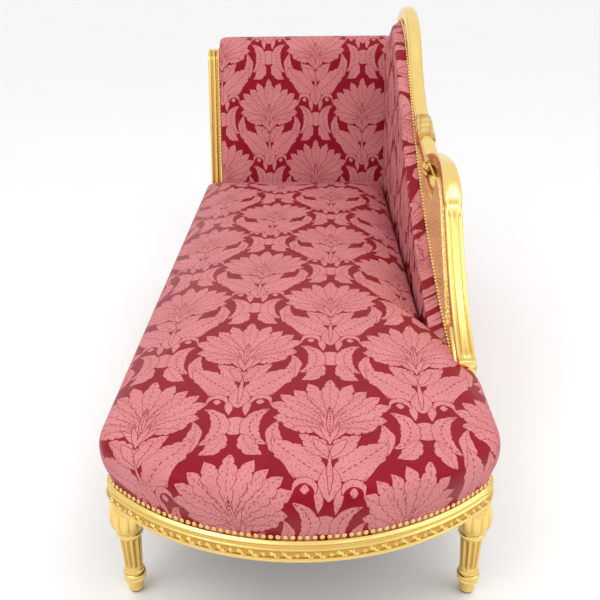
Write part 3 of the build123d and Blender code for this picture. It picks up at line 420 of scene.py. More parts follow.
# %% The motif's leaves
MOTIF = [
    # big flower: the drooping side petals, then the crown that stands over them
    ((0, 136), (0.4, 250), 0.4, 34, 1.00, 1, 0.00, 0.0),
    ((8, 146), (68, 156), 9, 17, 1.20, 4, 0.30, 0.5),
    ((6, 154), (94, 183), 9, 20, 1.50, 6, 0.30, 0.5),
    ((6, 158), (102, 221), 8, 20, 1.60, 6, 0.30, 0.5),
    ((6, 162), (86, 246), 5, 18, 1.60, 6, 0.30, 0.5),
    ((0, 172), (63, 260), 5, 15, 1.80, 5, 0.34, 0.5),
    ((0, 172), (38, 279), 3, 16, 1.80, 5, 0.34, 0.0),
    ((0, 165), (0.4, 294), 0.4, 15, 1.80, 6, 0.34, 0.5),
    # scrolls that rise from the neck and curl in under the flower, outer lobes first
    ((8, 54), (64, 58), -3, 15, 1.20, 4, 0.32, 0.0),
    ((30, 66), (90, 90), -9, 16, 1.20, 4, 0.32, 0.0),
    ((64, 88), (84, 175), -17, 15, 0.90, 5, 0.15, 0.5),
    ((0, 44), (93, 132), -5, 31, 0.92, 8, 0.16, 0.8),
    ((58, 163), (76, 163.5), 0.5, 8.5, 1.00, 1, 0.00, 0.0),
    # cup of the flower and its pistil
    ((1, 84), (50, 142), 5, 18, 0.95, 5, 0.25, 0.5),
    ((1, 88), (27, 132), 2, 8, 1.00, 1, 0.00, 0.0),
    ((0, 122), (32, 160), 3, 5, 1.10, 1, 0.00, 0.0),
    ((0, 118), (16, 166), 2, 4.5, 1.10, 1, 0.00, 0.0),
    ((0, 138), (0.4, 214), 0.4, 5, 1.00, 1, 0.00, 1.0),
    # neck and volutes
    ((0, 10), (0.4, 76), 0.4, 18, 0.80, 1, 0.00, 0.0),
    ((0, 20), (0.4, 98), 0.4, 4, 0.90, 1, 0.00, 0.0),
    ((14, -10), (21, 36), 2, 6.5, 1.00, 1, 0.00, 0.0),
    ((21, 20), (54, 18), 23, 5.5, 0.90, 1, 0.00, 0.0),
    ((30, 26), (44, 26.5), 0.5, 7, 1.00, 1, 0.00, 0.0),
    # the mass below the star, horns either side of it and the leaves that hang below
    ((-42, -36), (42, -36.5), 0.5, 22, 1.00, 3, 0.10, 0.0),
    ((57, -82), (56, 7), 32, 16, 1.00, 6, 0.15, 0.8),
    ((15, -56), (52, -108), -8, 15, 0.88, 4, 0.25, 0.5),
]
print("leaves in the motif:", len(MOTIF))

# %% [markdown]
# The motif's group is a chain of leaf groups. Each takes the figure so far and lays its own leaf over it.

# %% The motif group
def arc_of(root, tip, bow):
    """Centre, radius, start angle, direction and sweep of the arc that bows to the left of root to tip."""
    a, b = np.array(root), np.array(tip)
    chord = b - a
    long = np.hypot(*chord)
    left = np.array([-chord[1], chord[0]]) / long
    radius = (long * long / 4 + bow * bow) / (2 * abs(bow))
    centre = (a + b) / 2 - left * (radius - abs(bow)) * np.sign(bow)
    start = math.atan2(*(a - centre)[::-1])
    sweep = 4 * math.atan(2 * abs(bow) / long)
    return *centre, radius, start, -float(np.sign(bow)), sweep


motif_group, given, result = figure_group("damask_motif")
figure = 0.0
for root, tip, bow, *shape in MOTIF:
    inputs = dict(zip(LEAF_NUMBERS, (figure, *arc_of(root, tip, bow), *shape)))
    inputs["Place"] = given["Place"]
    leaf = add_node(motif_group, "ShaderNodeGroup", inputs, node_tree=leaf_group)
    figure = leaf.outputs["Figure"]
feed(motif_group, result, {"Figure": figure})
print("motif group nodes:", len(motif_group.nodes))

# %% [markdown]
# In a half-drop repeat, each column of motifs stands half a repeat higher than the last. Instead of
# drawing all the neighbours, the repeat folds every place on the cloth into one motif. A curve says how
# far out from its axis a motif reaches at each height. Beyond that border, the neighbouring column's
# motif takes over.

# %% The repeat group
REPEAT_WIDE = 0.310
REPEAT_HIGH = 0.396
LOWEST = -105
BORDER = [(-105, 64), (-90, 58), (-78, 55), (-58, 51), (-33, 51), (-13, 60), (4, 57), (24, 56), (47, 55),
          (64, 66), (80, 76)]
wide_mm, high_mm = REPEAT_WIDE / MM, REPEAT_HIGH / MM
upper = [(up + high_mm / 2, wide_mm / 2 - out) for up, out in BORDER]
top = (LOWEST + high_mm, BORDER[0][1])
marks = [((up - LOWEST) / high_mm, out / wide_mm) for up, out in [*BORDER, *upper, top]]
fold = LOWEST / high_mm

repeat_group, given, result = figure_group("damask_repeat")
calc = partial(math_node, repeat_group)
place = add_node(repeat_group, "ShaderNodeSeparateXYZ", {0: given["Place"]}).outputs
climb = calc("FRACT", calc("SUBTRACT", place["Y"], fold))
border = add_node(repeat_group, "ShaderNodeFloatCurve", {"Value": climb})
curve = border.mapping.curves[0]
for at, out in marks[1:-1]:
    curve.points.new(at, out)
curve.points[0].location = marks[0]
curve.points[-1].location = marks[-1]
for point in curve.points:
    point.handle_type = "VECTOR"
border.mapping.update()

off_axis = calc("ABSOLUTE", calc("WRAP", place["X"], 0.5, -0.5))
beyond = calc("GREATER_THAN", off_axis, border.outputs["Value"])
fold_x = calc("ABSOLUTE", calc("SUBTRACT", off_axis, calc("MULTIPLY", beyond, 0.5)))
fold_y = calc("WRAP", calc("MULTIPLY_ADD", beyond, 0.5, place["Y"]), fold + 1, fold)
folded = {"X": calc("MULTIPLY", fold_x, wide_mm), "Y": calc("MULTIPLY", fold_y, high_mm)}
in_motif = add_node(repeat_group, "ShaderNodeCombineXYZ", folded).outputs[0]
motif = add_node(repeat_group, "ShaderNodeGroup", {"Place": in_motif}, node_tree=motif_group)
feed(repeat_group, result, {"Figure": motif.outputs["Figure"]})
print("border marks:", len(marks))

# %% [markdown]
# The ground is a deep red satin and the figure a duller pink, flecked where ground threads show through.
# The place drifts a little, because no weave is quite straight. The ground is smoother than the figure,
# so it shines more.

# %% Damask cloth
DRIFT = (0.016, 0.016, 0.0)

damask, tree, shader = new_material("damask")
place = pattern_place(tree)
wander = add_node(tree, "ShaderNodeTexNoise", {"Vector": place, "Scale": 14.0}).outputs["Color"]
drifted = add_node(tree, "ShaderNodeVectorMath", {0: wander, 1: DRIFT, 2: place}, operation="MULTIPLY_ADD")
repeat = add_node(tree, "ShaderNodeGroup", {"Place": drifted.outputs[0]}, node_tree=repeat_group)
figure = repeat.outputs["Figure"]
shade = noise(tree, place, 5.0, 2.0)
ground = blend(tree, shade, (0.17, 0.002, 0.008), (0.27, 0.004, 0.016))
raised = blend(tree, shade, (0.50, 0.165, 0.175), (0.62, 0.25, 0.25))
fleck = math_node(tree, "GREATER_THAN", noise(tree, place, 95.0, 1.0), 0.60)
raised = blend(tree, math_node(tree, "MULTIPLY", fleck, 0.55), raised, (0.36, 0.05, 0.07))
weave = add_node(tree, "ShaderNodeTexWave", {"Vector": place, "Scale": 60.0}, bands_direction="DIAGONAL")
feed(tree, shader, {
    "Base Color": blend(tree, figure, ground, raised),
    "Roughness": math_node(tree, "MULTIPLY_ADD", figure, 0.38, 0.42),
    "Specular IOR Level": 0.4,
    "Specular Tint": (1.0, 0.22, 0.34),
    "Normal": bump(tree, weave.outputs["Fac"], 0.0002, 0.3),
})
print("damask made")

# %% [markdown]
# ## The stuffed seat
# The seat is stuffing under a tight cover, nailed to the rails all round. A cloth simulation could
# stretch the cover, but its shape follows a simple rule. So it is a pile of contours, from the hem under
# the nails, over the swelling side and the shoulder, to the crown. First come the lines and arcs that a
# contour is made of.

# %% Lines, arcs and the bowed foot
def arc_points(centre, radius, start, end, count):
    angles = np.linspace(start, end, count, endpoint=False)
    return np.stack([centre[0] + radius * np.cos(angles), centre[1] + radius * np.sin(angles)], 1)


def line_points(start, end, count):
    t = np.linspace(0, 1, count, endpoint=False)[:, None]
    return np.array(start) * (1 - t) + np.array(end) * t


def bow_marks(half, apex_y, radius, corner):
    """The right corner's centre, the angle where it meets the bow, and the Y of the bow's centre."""
    centre_y = apex_y + radius
    corner_x = half - corner
    corner_y = centre_y - math.sqrt((radius - corner) ** 2 - corner_x**2)
    return corner_x, corner_y, math.atan2(corner_y - centre_y, corner_x), centre_y


def bow_run(half, apex_y, radius, corner, left_y, right_y, counts):
    """Left side, corner, bow, corner and right side as one row of points."""
    x, y, meet, centre_y = bow_marks(half, apex_y, radius, corner)
    return np.concatenate([
        line_points((-half, left_y), (-half, y), counts[0]),
        arc_points((-x, y), corner, math.pi, math.pi - meet, counts[1]),
        arc_points((0, centre_y), radius, -math.pi - meet, meet, counts[2]),
        arc_points((x, y), corner, meet, 0, counts[1]),
        line_points((half, y), (half, right_y), counts[3]),
    ])


corner_x, corner_y, _, _ = bow_marks(HALF_WIDTH, FOOT_Y, BOW_RADIUS, CORNER_RADIUS)
print("foot rail's right corner turns about:", round(corner_x, 3), round(corner_y, 3))

# %% [markdown]
# A contour steps in behind the toe of the side back, because the seat passes inside it there.

# %% Seat contours
SWELL_Z = 0.318
SHOULDER_Z = 0.350
CROWN_Z = 0.400
CROWN_X = 0.004
CROWN_Y = (-0.246, 0.358)
SEAT_HEAD = 0.718
SEAT_BACK = 0.249
BACK_TOE = -0.612
TIGHTEST = 0.045  # least corner radius of a contour
HEAD_BEND = 0.040
TOE_BEND = 0.020


def seat_contour(side, foot):
    """One contour of the seat, from its insets at the side and at the foot."""
    half = HALF_WIDTH - side
    bow = half, FOOT_Y + foot, BOW_RADIUS - side, max(CORNER_RADIUS - side, TIGHTEST)
    toe_y = max(BACK_TOE - side, bow_marks(*bow)[1] + 2 * TOE_BEND)
    head_y = SEAT_HEAD - side
    back_x = SEAT_BACK - side
    bend_x = HEAD_BEND - half
    return np.concatenate([
        bow_run(*bow, head_y - HEAD_BEND, toe_y - TOE_BEND, (110, 16, 110, 26)),
        arc_points((half - TOE_BEND, toe_y - TOE_BEND), TOE_BEND, 0, math.pi / 2, 6),
        line_points((half - TOE_BEND, toe_y), (back_x, toe_y), 12),
        line_points((back_x, toe_y), (back_x, head_y), 100),
        line_points((back_x, head_y), (bend_x, head_y), 46),
        arc_points((bend_x, head_y - HEAD_BEND), HEAD_BEND, math.pi / 2, math.pi, 8),
    ])


def wall_inset(height, bulge, hem=0.009, shoulder=0.005):
    """How far the seat's side stands in from the rail's face. It bulges most at the swell."""
    if height <= SWELL_Z:
        rise = min(1, (SWELL_Z - height) / (SWELL_Z - RAIL_TOP))
        return (bulge + hem) * rise**2 - bulge
    return shoulder * ((height - SWELL_Z) / (SHOULDER_Z - SWELL_Z)) ** 2 - bulge


contours = []
for height in np.concatenate([[HEM_Z, NAIL_Z], np.linspace(RAIL_TOP, SHOULDER_Z, 18)]):
    contours.append((seat_contour(wall_inset(height, 0.006), wall_inset(height, 0.002)), height))
SHOULDER_ROW = len(contours) - 1
shoulder = contours[-1][0]
spine = np.stack([np.full(len(shoulder), CROWN_X), np.clip(shoulder[:, 1], *CROWN_Y)], 1)
for rise in np.linspace(0, 1, 46)[1:] ** 1.15:
    fall = (1 - 0.98 * rise) ** 1.6
    drawn_in = (1 - fall ** (1 / 4), 1 - fall ** (1 / 2))
    contours.append((shoulder + (spine - shoulder) * drawn_in, CROWN_Z - (CROWN_Z - SHOULDER_Z) * fall))
rings = np.stack([np.column_stack([ring, np.full(len(ring), height)]) for ring, height in contours])
rings[2:] = soften(rings[2:], 26)
print("seat contours:", rings.shape)

# %% [markdown]
# The stuffing is a little uneven, so the crown has shallow swells. The pattern lies flat on the crown.
# Below the shoulder the cloth is laid out flat, each row beyond the next, so the pattern runs straight on
# down the sides.

# %% Seat piece
SEAT_STAR = (0.0586, -0.561)
SEAT_TURN = math.radians(1.2)


def pattern_at(x, y, star, turn=0.0):
    """Places in the pattern, in repeats, for places on the cloth measured from one star."""
    dx, dy = x - star[0], y - star[1]
    across = dx * math.cos(turn) - dy * math.sin(turn)
    along = dx * math.sin(turn) + dy * math.cos(turn)
    return np.stack([across / REPEAT_WIDE, along / REPEAT_HIGH], -1)


def swells(x, y, height):
    """Shallow uneven swells, as stuffing has."""
    return height * (np.sin(9.1 * x + 5.3 * y + 0.4) * np.sin(7.7 * y - 3.1 * x + 1.9) - 0.6)


def lay_flat(rows, flat, outward, count):
    """Lay the first rows flat, each beyond the next by the width of cloth between them."""
    for row in range(count - 1, -1, -1):
        step = np.linalg.norm(rows[row] - rows[row + 1], axis=1)
        flat[row] = flat[row + 1] + outward * step[:, None]
    return flat


lift = smooth_step(0.345, 0.372, rings[..., 2])
rings[..., 2] += lift * swells(rings[..., 0], rings[..., 1], 0.0018)
edge = rings[SHOULDER_ROW, :, :2]
outward = right_of(np.roll(edge, -2, 0) - np.roll(edge, 2, 0))
cloth = lay_flat(rings, rings[..., :2].copy(), outward, SHOULDER_ROW)
places = pattern_at(cloth[..., 0], cloth[..., 1], SEAT_STAR, SEAT_TURN)
seat = tube("seat_cushion", rings, damask, pattern=places)
stand_in(seat, "damask", "seat_cover", "seat_foam")
print("seat points:", len(seat.data.vertices))

# %% [markdown]
# ## The headrest
# The headrest leans back and rolls over its top rail. It could be a swept curve, but here it is one side
# view drawn across: a leaning face, a roll and the way back down. That lets its ends be drawn in where
# the cloth turns to meet the posts.

# %% Side view of the headrest
HEAD_BACK = 0.034  # the stuffing's back, before the roll's axis


def leaning(front, up, centre=VOLUTE):
    """A point of the side view: so far before an axis and so far up the slope."""
    return np.array([
        centre[0] - front * math.cos(LEAN) + up * math.sin(LEAN),
        centre[1] + front * math.sin(LEAN) + up * math.cos(LEAN),
    ])


def leaning_at(front, height, centre=VOLUTE):
    """The point of the side view that is so far before an axis, at a height above the floor."""
    return leaning(front, (height - centre[1] - front * math.sin(LEAN)) / math.cos(LEAN), centre)


def roll_points(radius, centre, turn, count):
    """Points round a roll, from its front over its top."""
    angles = np.linspace(0, turn, count)
    return np.array([leaning(radius * math.cos(a), radius * math.sin(a), centre) for a in angles])


def head_section(radius):
    toe, heel = leaning_at(radius, SEAT_FLOOR, ROLL), leaning_at(HEAD_BACK, SEAT_FLOOR, ROLL)
    under = leaning(HEAD_BACK, -radius, ROLL)
    return np.concatenate([
        line_points(toe, leaning(radius, 0, ROLL), 90),
        roll_points(radius, ROLL, 1.5 * math.pi, 60),
        line_points(leaning(0.0005, -radius, ROLL), under, 8),
        line_points(under, heel, 20),
        line_points(heel, toe, 6),
    ])


print("side view points:", len(head_section(ROLL_RADIUS)))

# %% [markdown]
# Sections stand closer together near the ends, where the cover rounds off. The pattern is measured along
# the middle section, so the figure stays upright on the face and carries on over the roll.

# %% Headrest piece
END_ROUND = 0.030
END_DEPTH = 0.011
HEAD_STAR_X, HEAD_STAR_Z = 0.034, 0.585

end = FRAME_IN - CLEAR
across = np.concatenate([
    np.linspace(-end, END_ROUND - end, 9)[:-1],
    np.linspace(END_ROUND - end, end - END_ROUND, 60),
    np.linspace(end - END_ROUND, end, 9)[1:],
])
inward = np.clip((np.abs(across) - end + END_ROUND) / END_ROUND, 0, 1)
radii = ROLL_RADIUS - END_DEPTH * (1 - np.sqrt(1 - 0.97 * inward**2))
views = np.stack([head_section(radius) for radius in radii])
columns = np.broadcast_to(across[:, None, None], (*views.shape[:2], 1))
sections = np.concatenate([columns, views], -1)
travel = distances(views[len(across) // 2])
star = HEAD_STAR_X, (HEAD_STAR_Z - SEAT_FLOOR) / math.cos(LEAN)
places = pattern_at(sections[..., 0], np.broadcast_to(travel, sections.shape[:2]), star)
face = smooth_step(0.30, 0.40, sections[..., 2]) * (1 - inward[:, None])
sections[..., 1] -= face * swells(sections[..., 0], sections[..., 2], 0.0016) * math.cos(LEAN)
headrest = tube("headrest", sections, damask, pattern=places)
stand_in(headrest, "damask", "head_cover", "head_foam")
print("headrest points:", len(headrest.data.vertices))

# %% [markdown]
# ## The side back
# Curves set the side back's lines: the arch, the arm that springs from it, and the nail line under them.
# Bezier curves could draw them, but arcs are what a carver sets out. Each arc leaves as the last one came
# in.

# %% Runs of arcs
def arc_run(points, start_angle, spacing):
    """Evenly spaced points along tangent arcs through the points, and the heading at each."""
    heading = math.radians(start_angle)
    places, headings = [], []
    for (y0, z0), (y1, z1) in zip(points, points[1:]):
        chord = math.atan2(z1 - z0, y1 - y0)
        half_turn = (chord - heading + math.pi) % (2 * math.pi) - math.pi
        long = math.hypot(y1 - y0, z1 - z0)
        t = np.linspace(0, 1, max(2, int(long / spacing)), endpoint=False)
        turned = heading + 2 * half_turn * t
        if abs(half_turn) < 1e-6:
            at = np.stack([y0 + (y1 - y0) * t, z0 + (z1 - z0) * t], 1)
        else:
            radius = long / (2 * math.sin(half_turn))
            at = np.stack([
                y0 + radius * (np.sin(turned) - math.sin(heading)),
                z0 - radius * (np.cos(turned) - math.cos(heading)),
            ], 1)
        places.append(at)
        headings.append(turned)
        heading += 2 * half_turn
    places.append(np.array([points[-1]]))
    headings.append(np.array([heading]))
    return np.concatenate(places), np.concatenate(headings)


ARCH = [(-0.190, 0.578), (0.200, 0.662), (0.400, 0.798), (0.610, 0.889), VOLUTE]
ARCH_START = 5
ARM = [(-0.010, 0.606), (-0.230, 0.642), (-0.332, 0.590), (-0.430, 0.474), (-0.596, 0.362)]
ARM_START = 161
NAIL_LINE = [(-0.590, 0.352), (-0.275, 0.424), (0.148, 0.618), (0.412, 0.788), (0.610, 0.866)]
NAIL_START = 8
nail_run, _ = arc_run(NAIL_LINE, NAIL_START, 0.010)
print("nail line points:", len(nail_run))

# %% [markdown]
# The inner pad is thin stuffing under damask. It is drawn as outlines that shrink towards the middle of
# the side back while they come forward, quickly at the edge and slowly over the crown.

# %% Side back pad
PAD_MIDDLE = np.array([0.150, 0.450])
PAD_DEPTH = 0.0297
EDGE_SHARES = [1, 0.9985, 0.996, 0.992, 0.985, 0.975, 0.96, 0.94, 0.92]
BACK_STAR = (0.10, 0.470)


def back_outline(foot_z):
    """The pad's outline in side view, from the toe along the nail line to the headrest and back."""
    beside_head = [leaning_at(0.067, z, ROLL) for z in (0.700, foot_z)]
    corners = [NAIL_LINE[-1], (0.756, 0.812), *beside_head, (-0.560, foot_z), NAIL_LINE[0]]
    sides = [line_points(a, b, 30) for a, b in zip(corners, corners[1:])]
    return np.concatenate([nail_run[:-1], *sides])


apart = back_outline(SEAT_FLOOR) - PAD_MIDDLE
layers = []
for share in [*EDGE_SHARES, *np.linspace(0.90, 0.05, 16)]:
    depth = 1 - np.clip((share - 0.90) / 0.10, 0, 1) ** 7
    forward = np.full(len(apart), FRAME_IN - CLEAR - PAD_DEPTH * depth)
    layers.append(np.column_stack([forward, PAD_MIDDLE + apart * share]))
layers = np.stack(layers)
outward = apart / np.linalg.norm(apart, axis=1)[:, None]
cloth = lay_flat(layers, layers[..., 1:].copy(), outward, len(EDGE_SHARES))
back_pad = tube("back_pad", layers, damask, pattern=pattern_at(-cloth[..., 0], cloth[..., 1], BACK_STAR))
stand_in(back_pad, "damask", "back_cover", "back_foam")
print("pad points:", len(back_pad.data.vertices))

# %% [markdown]
# The outside of the side back is one flat cloth, stretched over the frame. A single face with the cloth's
# outline is all it needs.

# %% Side back's outer cloth
OUTER_X = 0.3212
CLOTH_TOE = -0.529

outer = back_outline(HEM_Z)
outer = outer[outer[:, 0] > CLOTH_TOE]
toe_top = nail_run[np.argmin(abs(nail_run[:, 0] - CLOTH_TOE)), 1]
outer = np.concatenate([outer, [[CLOTH_TOE, HEM_Z], [CLOTH_TOE, toe_top]]])
points = np.column_stack([np.full(len(outer), OUTER_X), outer])
whole = [list(range(len(points)))]
places = pattern_at(outer[:, 0], outer[:, 1], BACK_STAR)
back_cloth = new_piece("back_outer_cloth", points, whole, damask, places)
stand_in(back_cloth, "damask", "back_outside_cover")
wide, high = np.ptp(outer, axis=0)

# %% [markdown]
# The headrest's outer cloth is tacked to the backs of the posts, from the hem on the rail to under the
# roll. It is narrower at the hem, where it passes between the side rails, so it is a grid with a step in
# its width.

# %% Headrest's outer cloth
POST_BACK = -0.0092
HEM_HALF = 0.279
CLOTH_HALF = 0.3195

low, ledge, high = [leaning_at(POST_BACK, z) for z in (HEM_Z, 0.2712)] + [leaning(POST_BACK, -0.0705)]
rows = [(low, HEM_HALF), (ledge, HEM_HALF)]
rows += [(ledge + (high - ledge) * t, CLOTH_HALF) for t in np.linspace(0.002, 1, 40)]
grid = np.array([[(x, *at) for x in np.linspace(-half, half, 40)] for at, half in rows])
places = pattern_at(grid[..., 0], (grid[..., 2] - 0.30) / math.cos(LEAN), (0.031, 0.1)).reshape(-1, 2)
head_cloth = new_piece("head_outer_cloth", grid.reshape(-1, 3), grid_faces(len(rows), 40), damask, places)
stand_in(head_cloth, "damask", "head_outside_cover")
print("headrest cloth rows:", len(rows))

# %% [markdown]
# ## Cloths under the seat
# Hessian lies over the webbing, and a black dust cloth closes the frame from below. Both are cut to the
# bowed foot and stretched flat, so each is one face.


def bowed_cloth(name, half, foot_y, head_y, height, material, slot, packed):
    inset = HALF_WIDTH - half
    corner = max(CORNER_RADIUS - inset, 0.02)
    cut = bow_run(half, foot_y, BOW_RADIUS - inset, corner, head_y, head_y, (60, 10, 60, 60))
    cut = np.concatenate([cut, [[half, head_y]]])
    points = np.column_stack([cut, np.full(len(cut), height)])
    cloth = new_piece(name, points, [list(range(len(points)))], material, cut)
    stand_in(cloth, slot, packed)


bowed_cloth("seat_hessian_cloth", 0.285, -0.903, 0.755, 0.2748, hessian, "hessian", "seat_hessian")
bowed_cloth("seat_dust_cloth", 0.288, -0.906, 0.758, 0.2142, dust_cloth, "dust_cloth", "seat_dust_cover")

# %% [markdown]
# Jute webbing carries the stuffing of the seat, the headrest and the side back. It is flat and tight, so
# each strap is one face between its two ends.

# %% Webbing
STRAP_WIDE = 0.050
STRAP_HALF_X = (STRAP_WIDE / 2, 0, 0)
STRAP_HALF_Y = (0, STRAP_WIDE / 2, 0)


def straps(name, packed, ends, half):
    """Straps as one piece, each between a start and an end, with half its width to either side."""
    points, faces, places = [], [], []
    for start, end in np.array(ends):
        first = len(points)
        faces.append([first, first + 1, first + 2, first + 3])
        points += [start - half, end - half, end + half, start + half]
        long = float(np.linalg.norm(end - start))
        places += [(0, 0), (0, long), (STRAP_WIDE, long), (STRAP_WIDE, 0)]
    piece = new_piece(name, points, faces, webbing, places)
    stand_in(piece, "webbing", packed)


cross = [((-0.285, y, 0.2718), (0.285, y, 0.2718)) for y in np.linspace(-0.726, 0.660, 13)]
straps("seat_cross_webbing", "seat_cross_straps", cross, STRAP_HALF_Y)
feet = [(x, -0.800 if abs(x) > 0.2 else -0.895) for x in np.linspace(-0.224, 0.224, 5)]
lengthways = [((x, foot, 0.2738), (x, 0.755, 0.2738)) for x, foot in feet]
straps("seat_long_webbing", "seat_long_straps", lengthways, STRAP_HALF_X)
low, high = leaning_at(0.0318, 0.288), leaning(0.0318, 0)
sloping = [((x, *low), (x, *high)) for x in np.linspace(-0.236, 0.236, 6)]
straps("head_webbing", "head_straps", sloping, STRAP_HALF_X)
tops = [(-0.300, 0.405), (-0.130, 0.475), (0.230, 0.650), (0.400, 0.760), (0.570, 0.835)]
upright = [((0.2845, y, 0.280), (0.2845, y, top)) for y, top in tops]
straps("back_webbing", "back_straps", upright, STRAP_HALF_Y)

# %% [markdown]
# ## Carved seat rails
# A rail is a moulded section carried along the seat's edge: a ledge for the nails, a cove, a carved band
# and a fillet. The band has a running ornament of flowers and curling leaves. Bump alone would look flat
# in raking light, so the ornament is cut as real relief.

# %% Rail section and its running ornament
def rail_section():
    """Insets from the outermost face and heights, from the ledge down the front and round the back."""
    ledge = [(0.0123, 0.2700), (0.0123, HEM_Z), (0.0020, 0.2543), (0.0014, 0.2530)]
    bend = np.linspace(0, 1, 9)
    cove = [(0.0014 + 0.0046 * math.sin(math.pi * t), 0.2525 - 0.0115 * t) for t in bend]
    band = [(0.0030 - 0.0026 * math.sin(math.pi * t), 0.2405 - 0.0155 * t) for t in np.linspace(0, 1, 26)]
    fillet = [(0.0034, 0.2246), (0.0015, 0.2240), (0.0012, 0.2215), (0.0020, 0.2195), (0.0065, 0.2151)]
    back = [(RAIL_THICK, 0.2151), (RAIL_THICK, 0.2700)]
    return np.array(ledge + cove + band + fillet + back)


ORNAMENT_PITCH = 0.052
BAND_Z = 0.2327
STEM_START = 0.006
CURL = 0.0036


def running_leaf(along, height):
    """Relief from 0 to 1 of flowers and curling leaves, at a distance along the rail and a height."""
    a = ((along / ORNAMENT_PITCH + 0.5) % 1 - 0.5) * ORNAMENT_PITCH
    b = height - BAND_Z
    side, away, reach = np.sign(a), np.abs(a), np.hypot(a, b)
    petals = 0.0058 * (0.80 + 0.20 * np.cos(5 * np.arctan2(b, a)))
    eye = 0.75 + 0.25 * np.cos(np.clip(reach / 0.0024, 0, 1) * math.pi)
    flower = smooth_step(0.0, 0.0026, petals - reach) * eye
    t = np.clip((away - STEM_START) / (ORNAMENT_PITCH / 2 - STEM_START), 0, 1)
    stem = 0.0036 * np.sin(t * math.pi * 1.6 + 0.4) * side
    lobes = 0.0040 * np.sin(math.pi * t**0.8) * (0.72 + 0.28 * np.cos(t * 22.0))
    leaf = smooth_step(0.0, 0.0022, lobes + 0.0006 - np.abs(b - stem)) * (away > 0.0055)
    vein = 1 - 0.35 * np.exp(-((b - stem) / 0.0007) ** 2)
    curl_at = np.hypot(away - 0.0185, b + 0.0030 * side)
    curl = smooth_step(0.0, 0.0018, CURL - curl_at) * (0.6 + 0.4 * np.cos(curl_at / CURL * 2 * math.pi))
    return np.maximum.reduce([flower, leaf * vein, curl])


section = rail_section()
inset, level = section.T
on_band = smooth_step(0.2246, 0.2262, level) * (1 - smooth_step(0.2392, 0.2406, level)) * (inset < 0.02)
in_cove = (inset > 0.004) & (level > 0.241) & (level < 0.2535)
print("rail section points:", len(section))

# %% [markdown]
# Each rail follows its own run, and its ornament is centred on it. The foot rail takes the bow and both
# corners.

# %% Foot and side rails
def carved_rail(name, packed, run):
    """A moulded rail along a run of points in plan, whose outer side is to the right of the run."""
    outward = right_of(np.gradient(run, axis=0))
    travel = distances(run)
    travel -= travel[-1] / 2
    carved = running_leaf(travel[:, None], level) * on_band
    depth = np.maximum(inset - 0.0032 * carved + 0.0014 * on_band * (1 - carved), -0.0012)
    place = run[:, None, :] - outward[:, None, :] * depth[..., None]
    heights = np.broadcast_to(level[:, None], (*depth.shape, 1))
    relief = np.where(on_band > 0.05, 0.15 + 0.85 * carved, 0.85)
    relief = np.where(in_cove, 0.55, relief)
    rail = tube(name, np.concatenate([place, heights], -1), gold_carved, relief=relief)
    stand_in(rail, "gilt_wood", packed)
    print(name, "points:", len(rail.data.vertices))


bow = bow_run(HALF_WIDTH, FOOT_Y, BOW_RADIUS, CORNER_RADIUS, SPLICE_Y, SPLICE_Y, (80, 120, 600, 80))
bow = np.concatenate([bow, [[HALF_WIDTH, SPLICE_Y]]])
left = np.array([[-HALF_WIDTH, HEAD_Y], [-HALF_WIDTH, SPLICE_Y]])
right = np.array([[HALF_WIDTH, SPLICE_Y], [HALF_WIDTH, HEAD_Y]])
carved_rail("foot_rail_carved", "foot_rail", even_run(bow, 0.0011))
carved_rail("left_rail_carved", "left_seat_rail", even_run(left, 0.0014))
carved_rail("right_rail_carved", "right_seat_rail", even_run(right, 0.0014))

# %% [markdown]
# ## Legs
# A leg is turned on a lathe, then carved: the bulb gets shallow lobes and the shaft gets flutes. A Screw
# modifier could turn the outline, but rings of points can be carved in the same step. The list is the
# turner's outline: height and radius in millimetres.

# %% Turned and carved legs
LEG_TURNING = np.array([
    (4.0, 13.0), (6.0, 13.8), (14.0, 12.6), (21.0, 12.8), (23.0, 14.5), (25.0, 18.0), (27.5, 19.6),
    (30.5, 19.6), (33.0, 17.8), (34.5, 17.2), (36.0, 19.4), (39.0, 20.8), (42.0, 19.4), (43.5, 17.0),
    (46.0, 17.4), (48.5, 18.6), (50.5, 17.6), (54.0, 16.2), (58.0, 16.6), (76.0, 17.4), (94.0, 18.2),
    (112.0, 19.2), (124.0, 19.8), (128.0, 20.2), (130.0, 22.8), (133.0, 24.2), (136.0, 22.8), (138.0, 20.8),
    (140.0, 22.0), (146.0, 26.4), (154.0, 30.6), (162.0, 32.6), (170.0, 33.0), (178.0, 32.6), (186.0, 30.8),
    (193.0, 28.0), (197.0, 25.6), (199.0, 25.0), (201.0, 27.6), (204.0, 28.8), (207.0, 28.0), (209.0, 25.6),
    (211.5, 26.4), (214.9, 28.8),
]) * MM
LEG_GROOVES = (0.0225, 0.0345, 0.0437, 0.0525, 0.1285, 0.1382, 0.1985, 0.2095)
FLUTES = 10
LOBES = 12
LEG_X = 0.303
LEG_YS = {"foot": -0.773, "middle": -0.005, "head": 0.752}


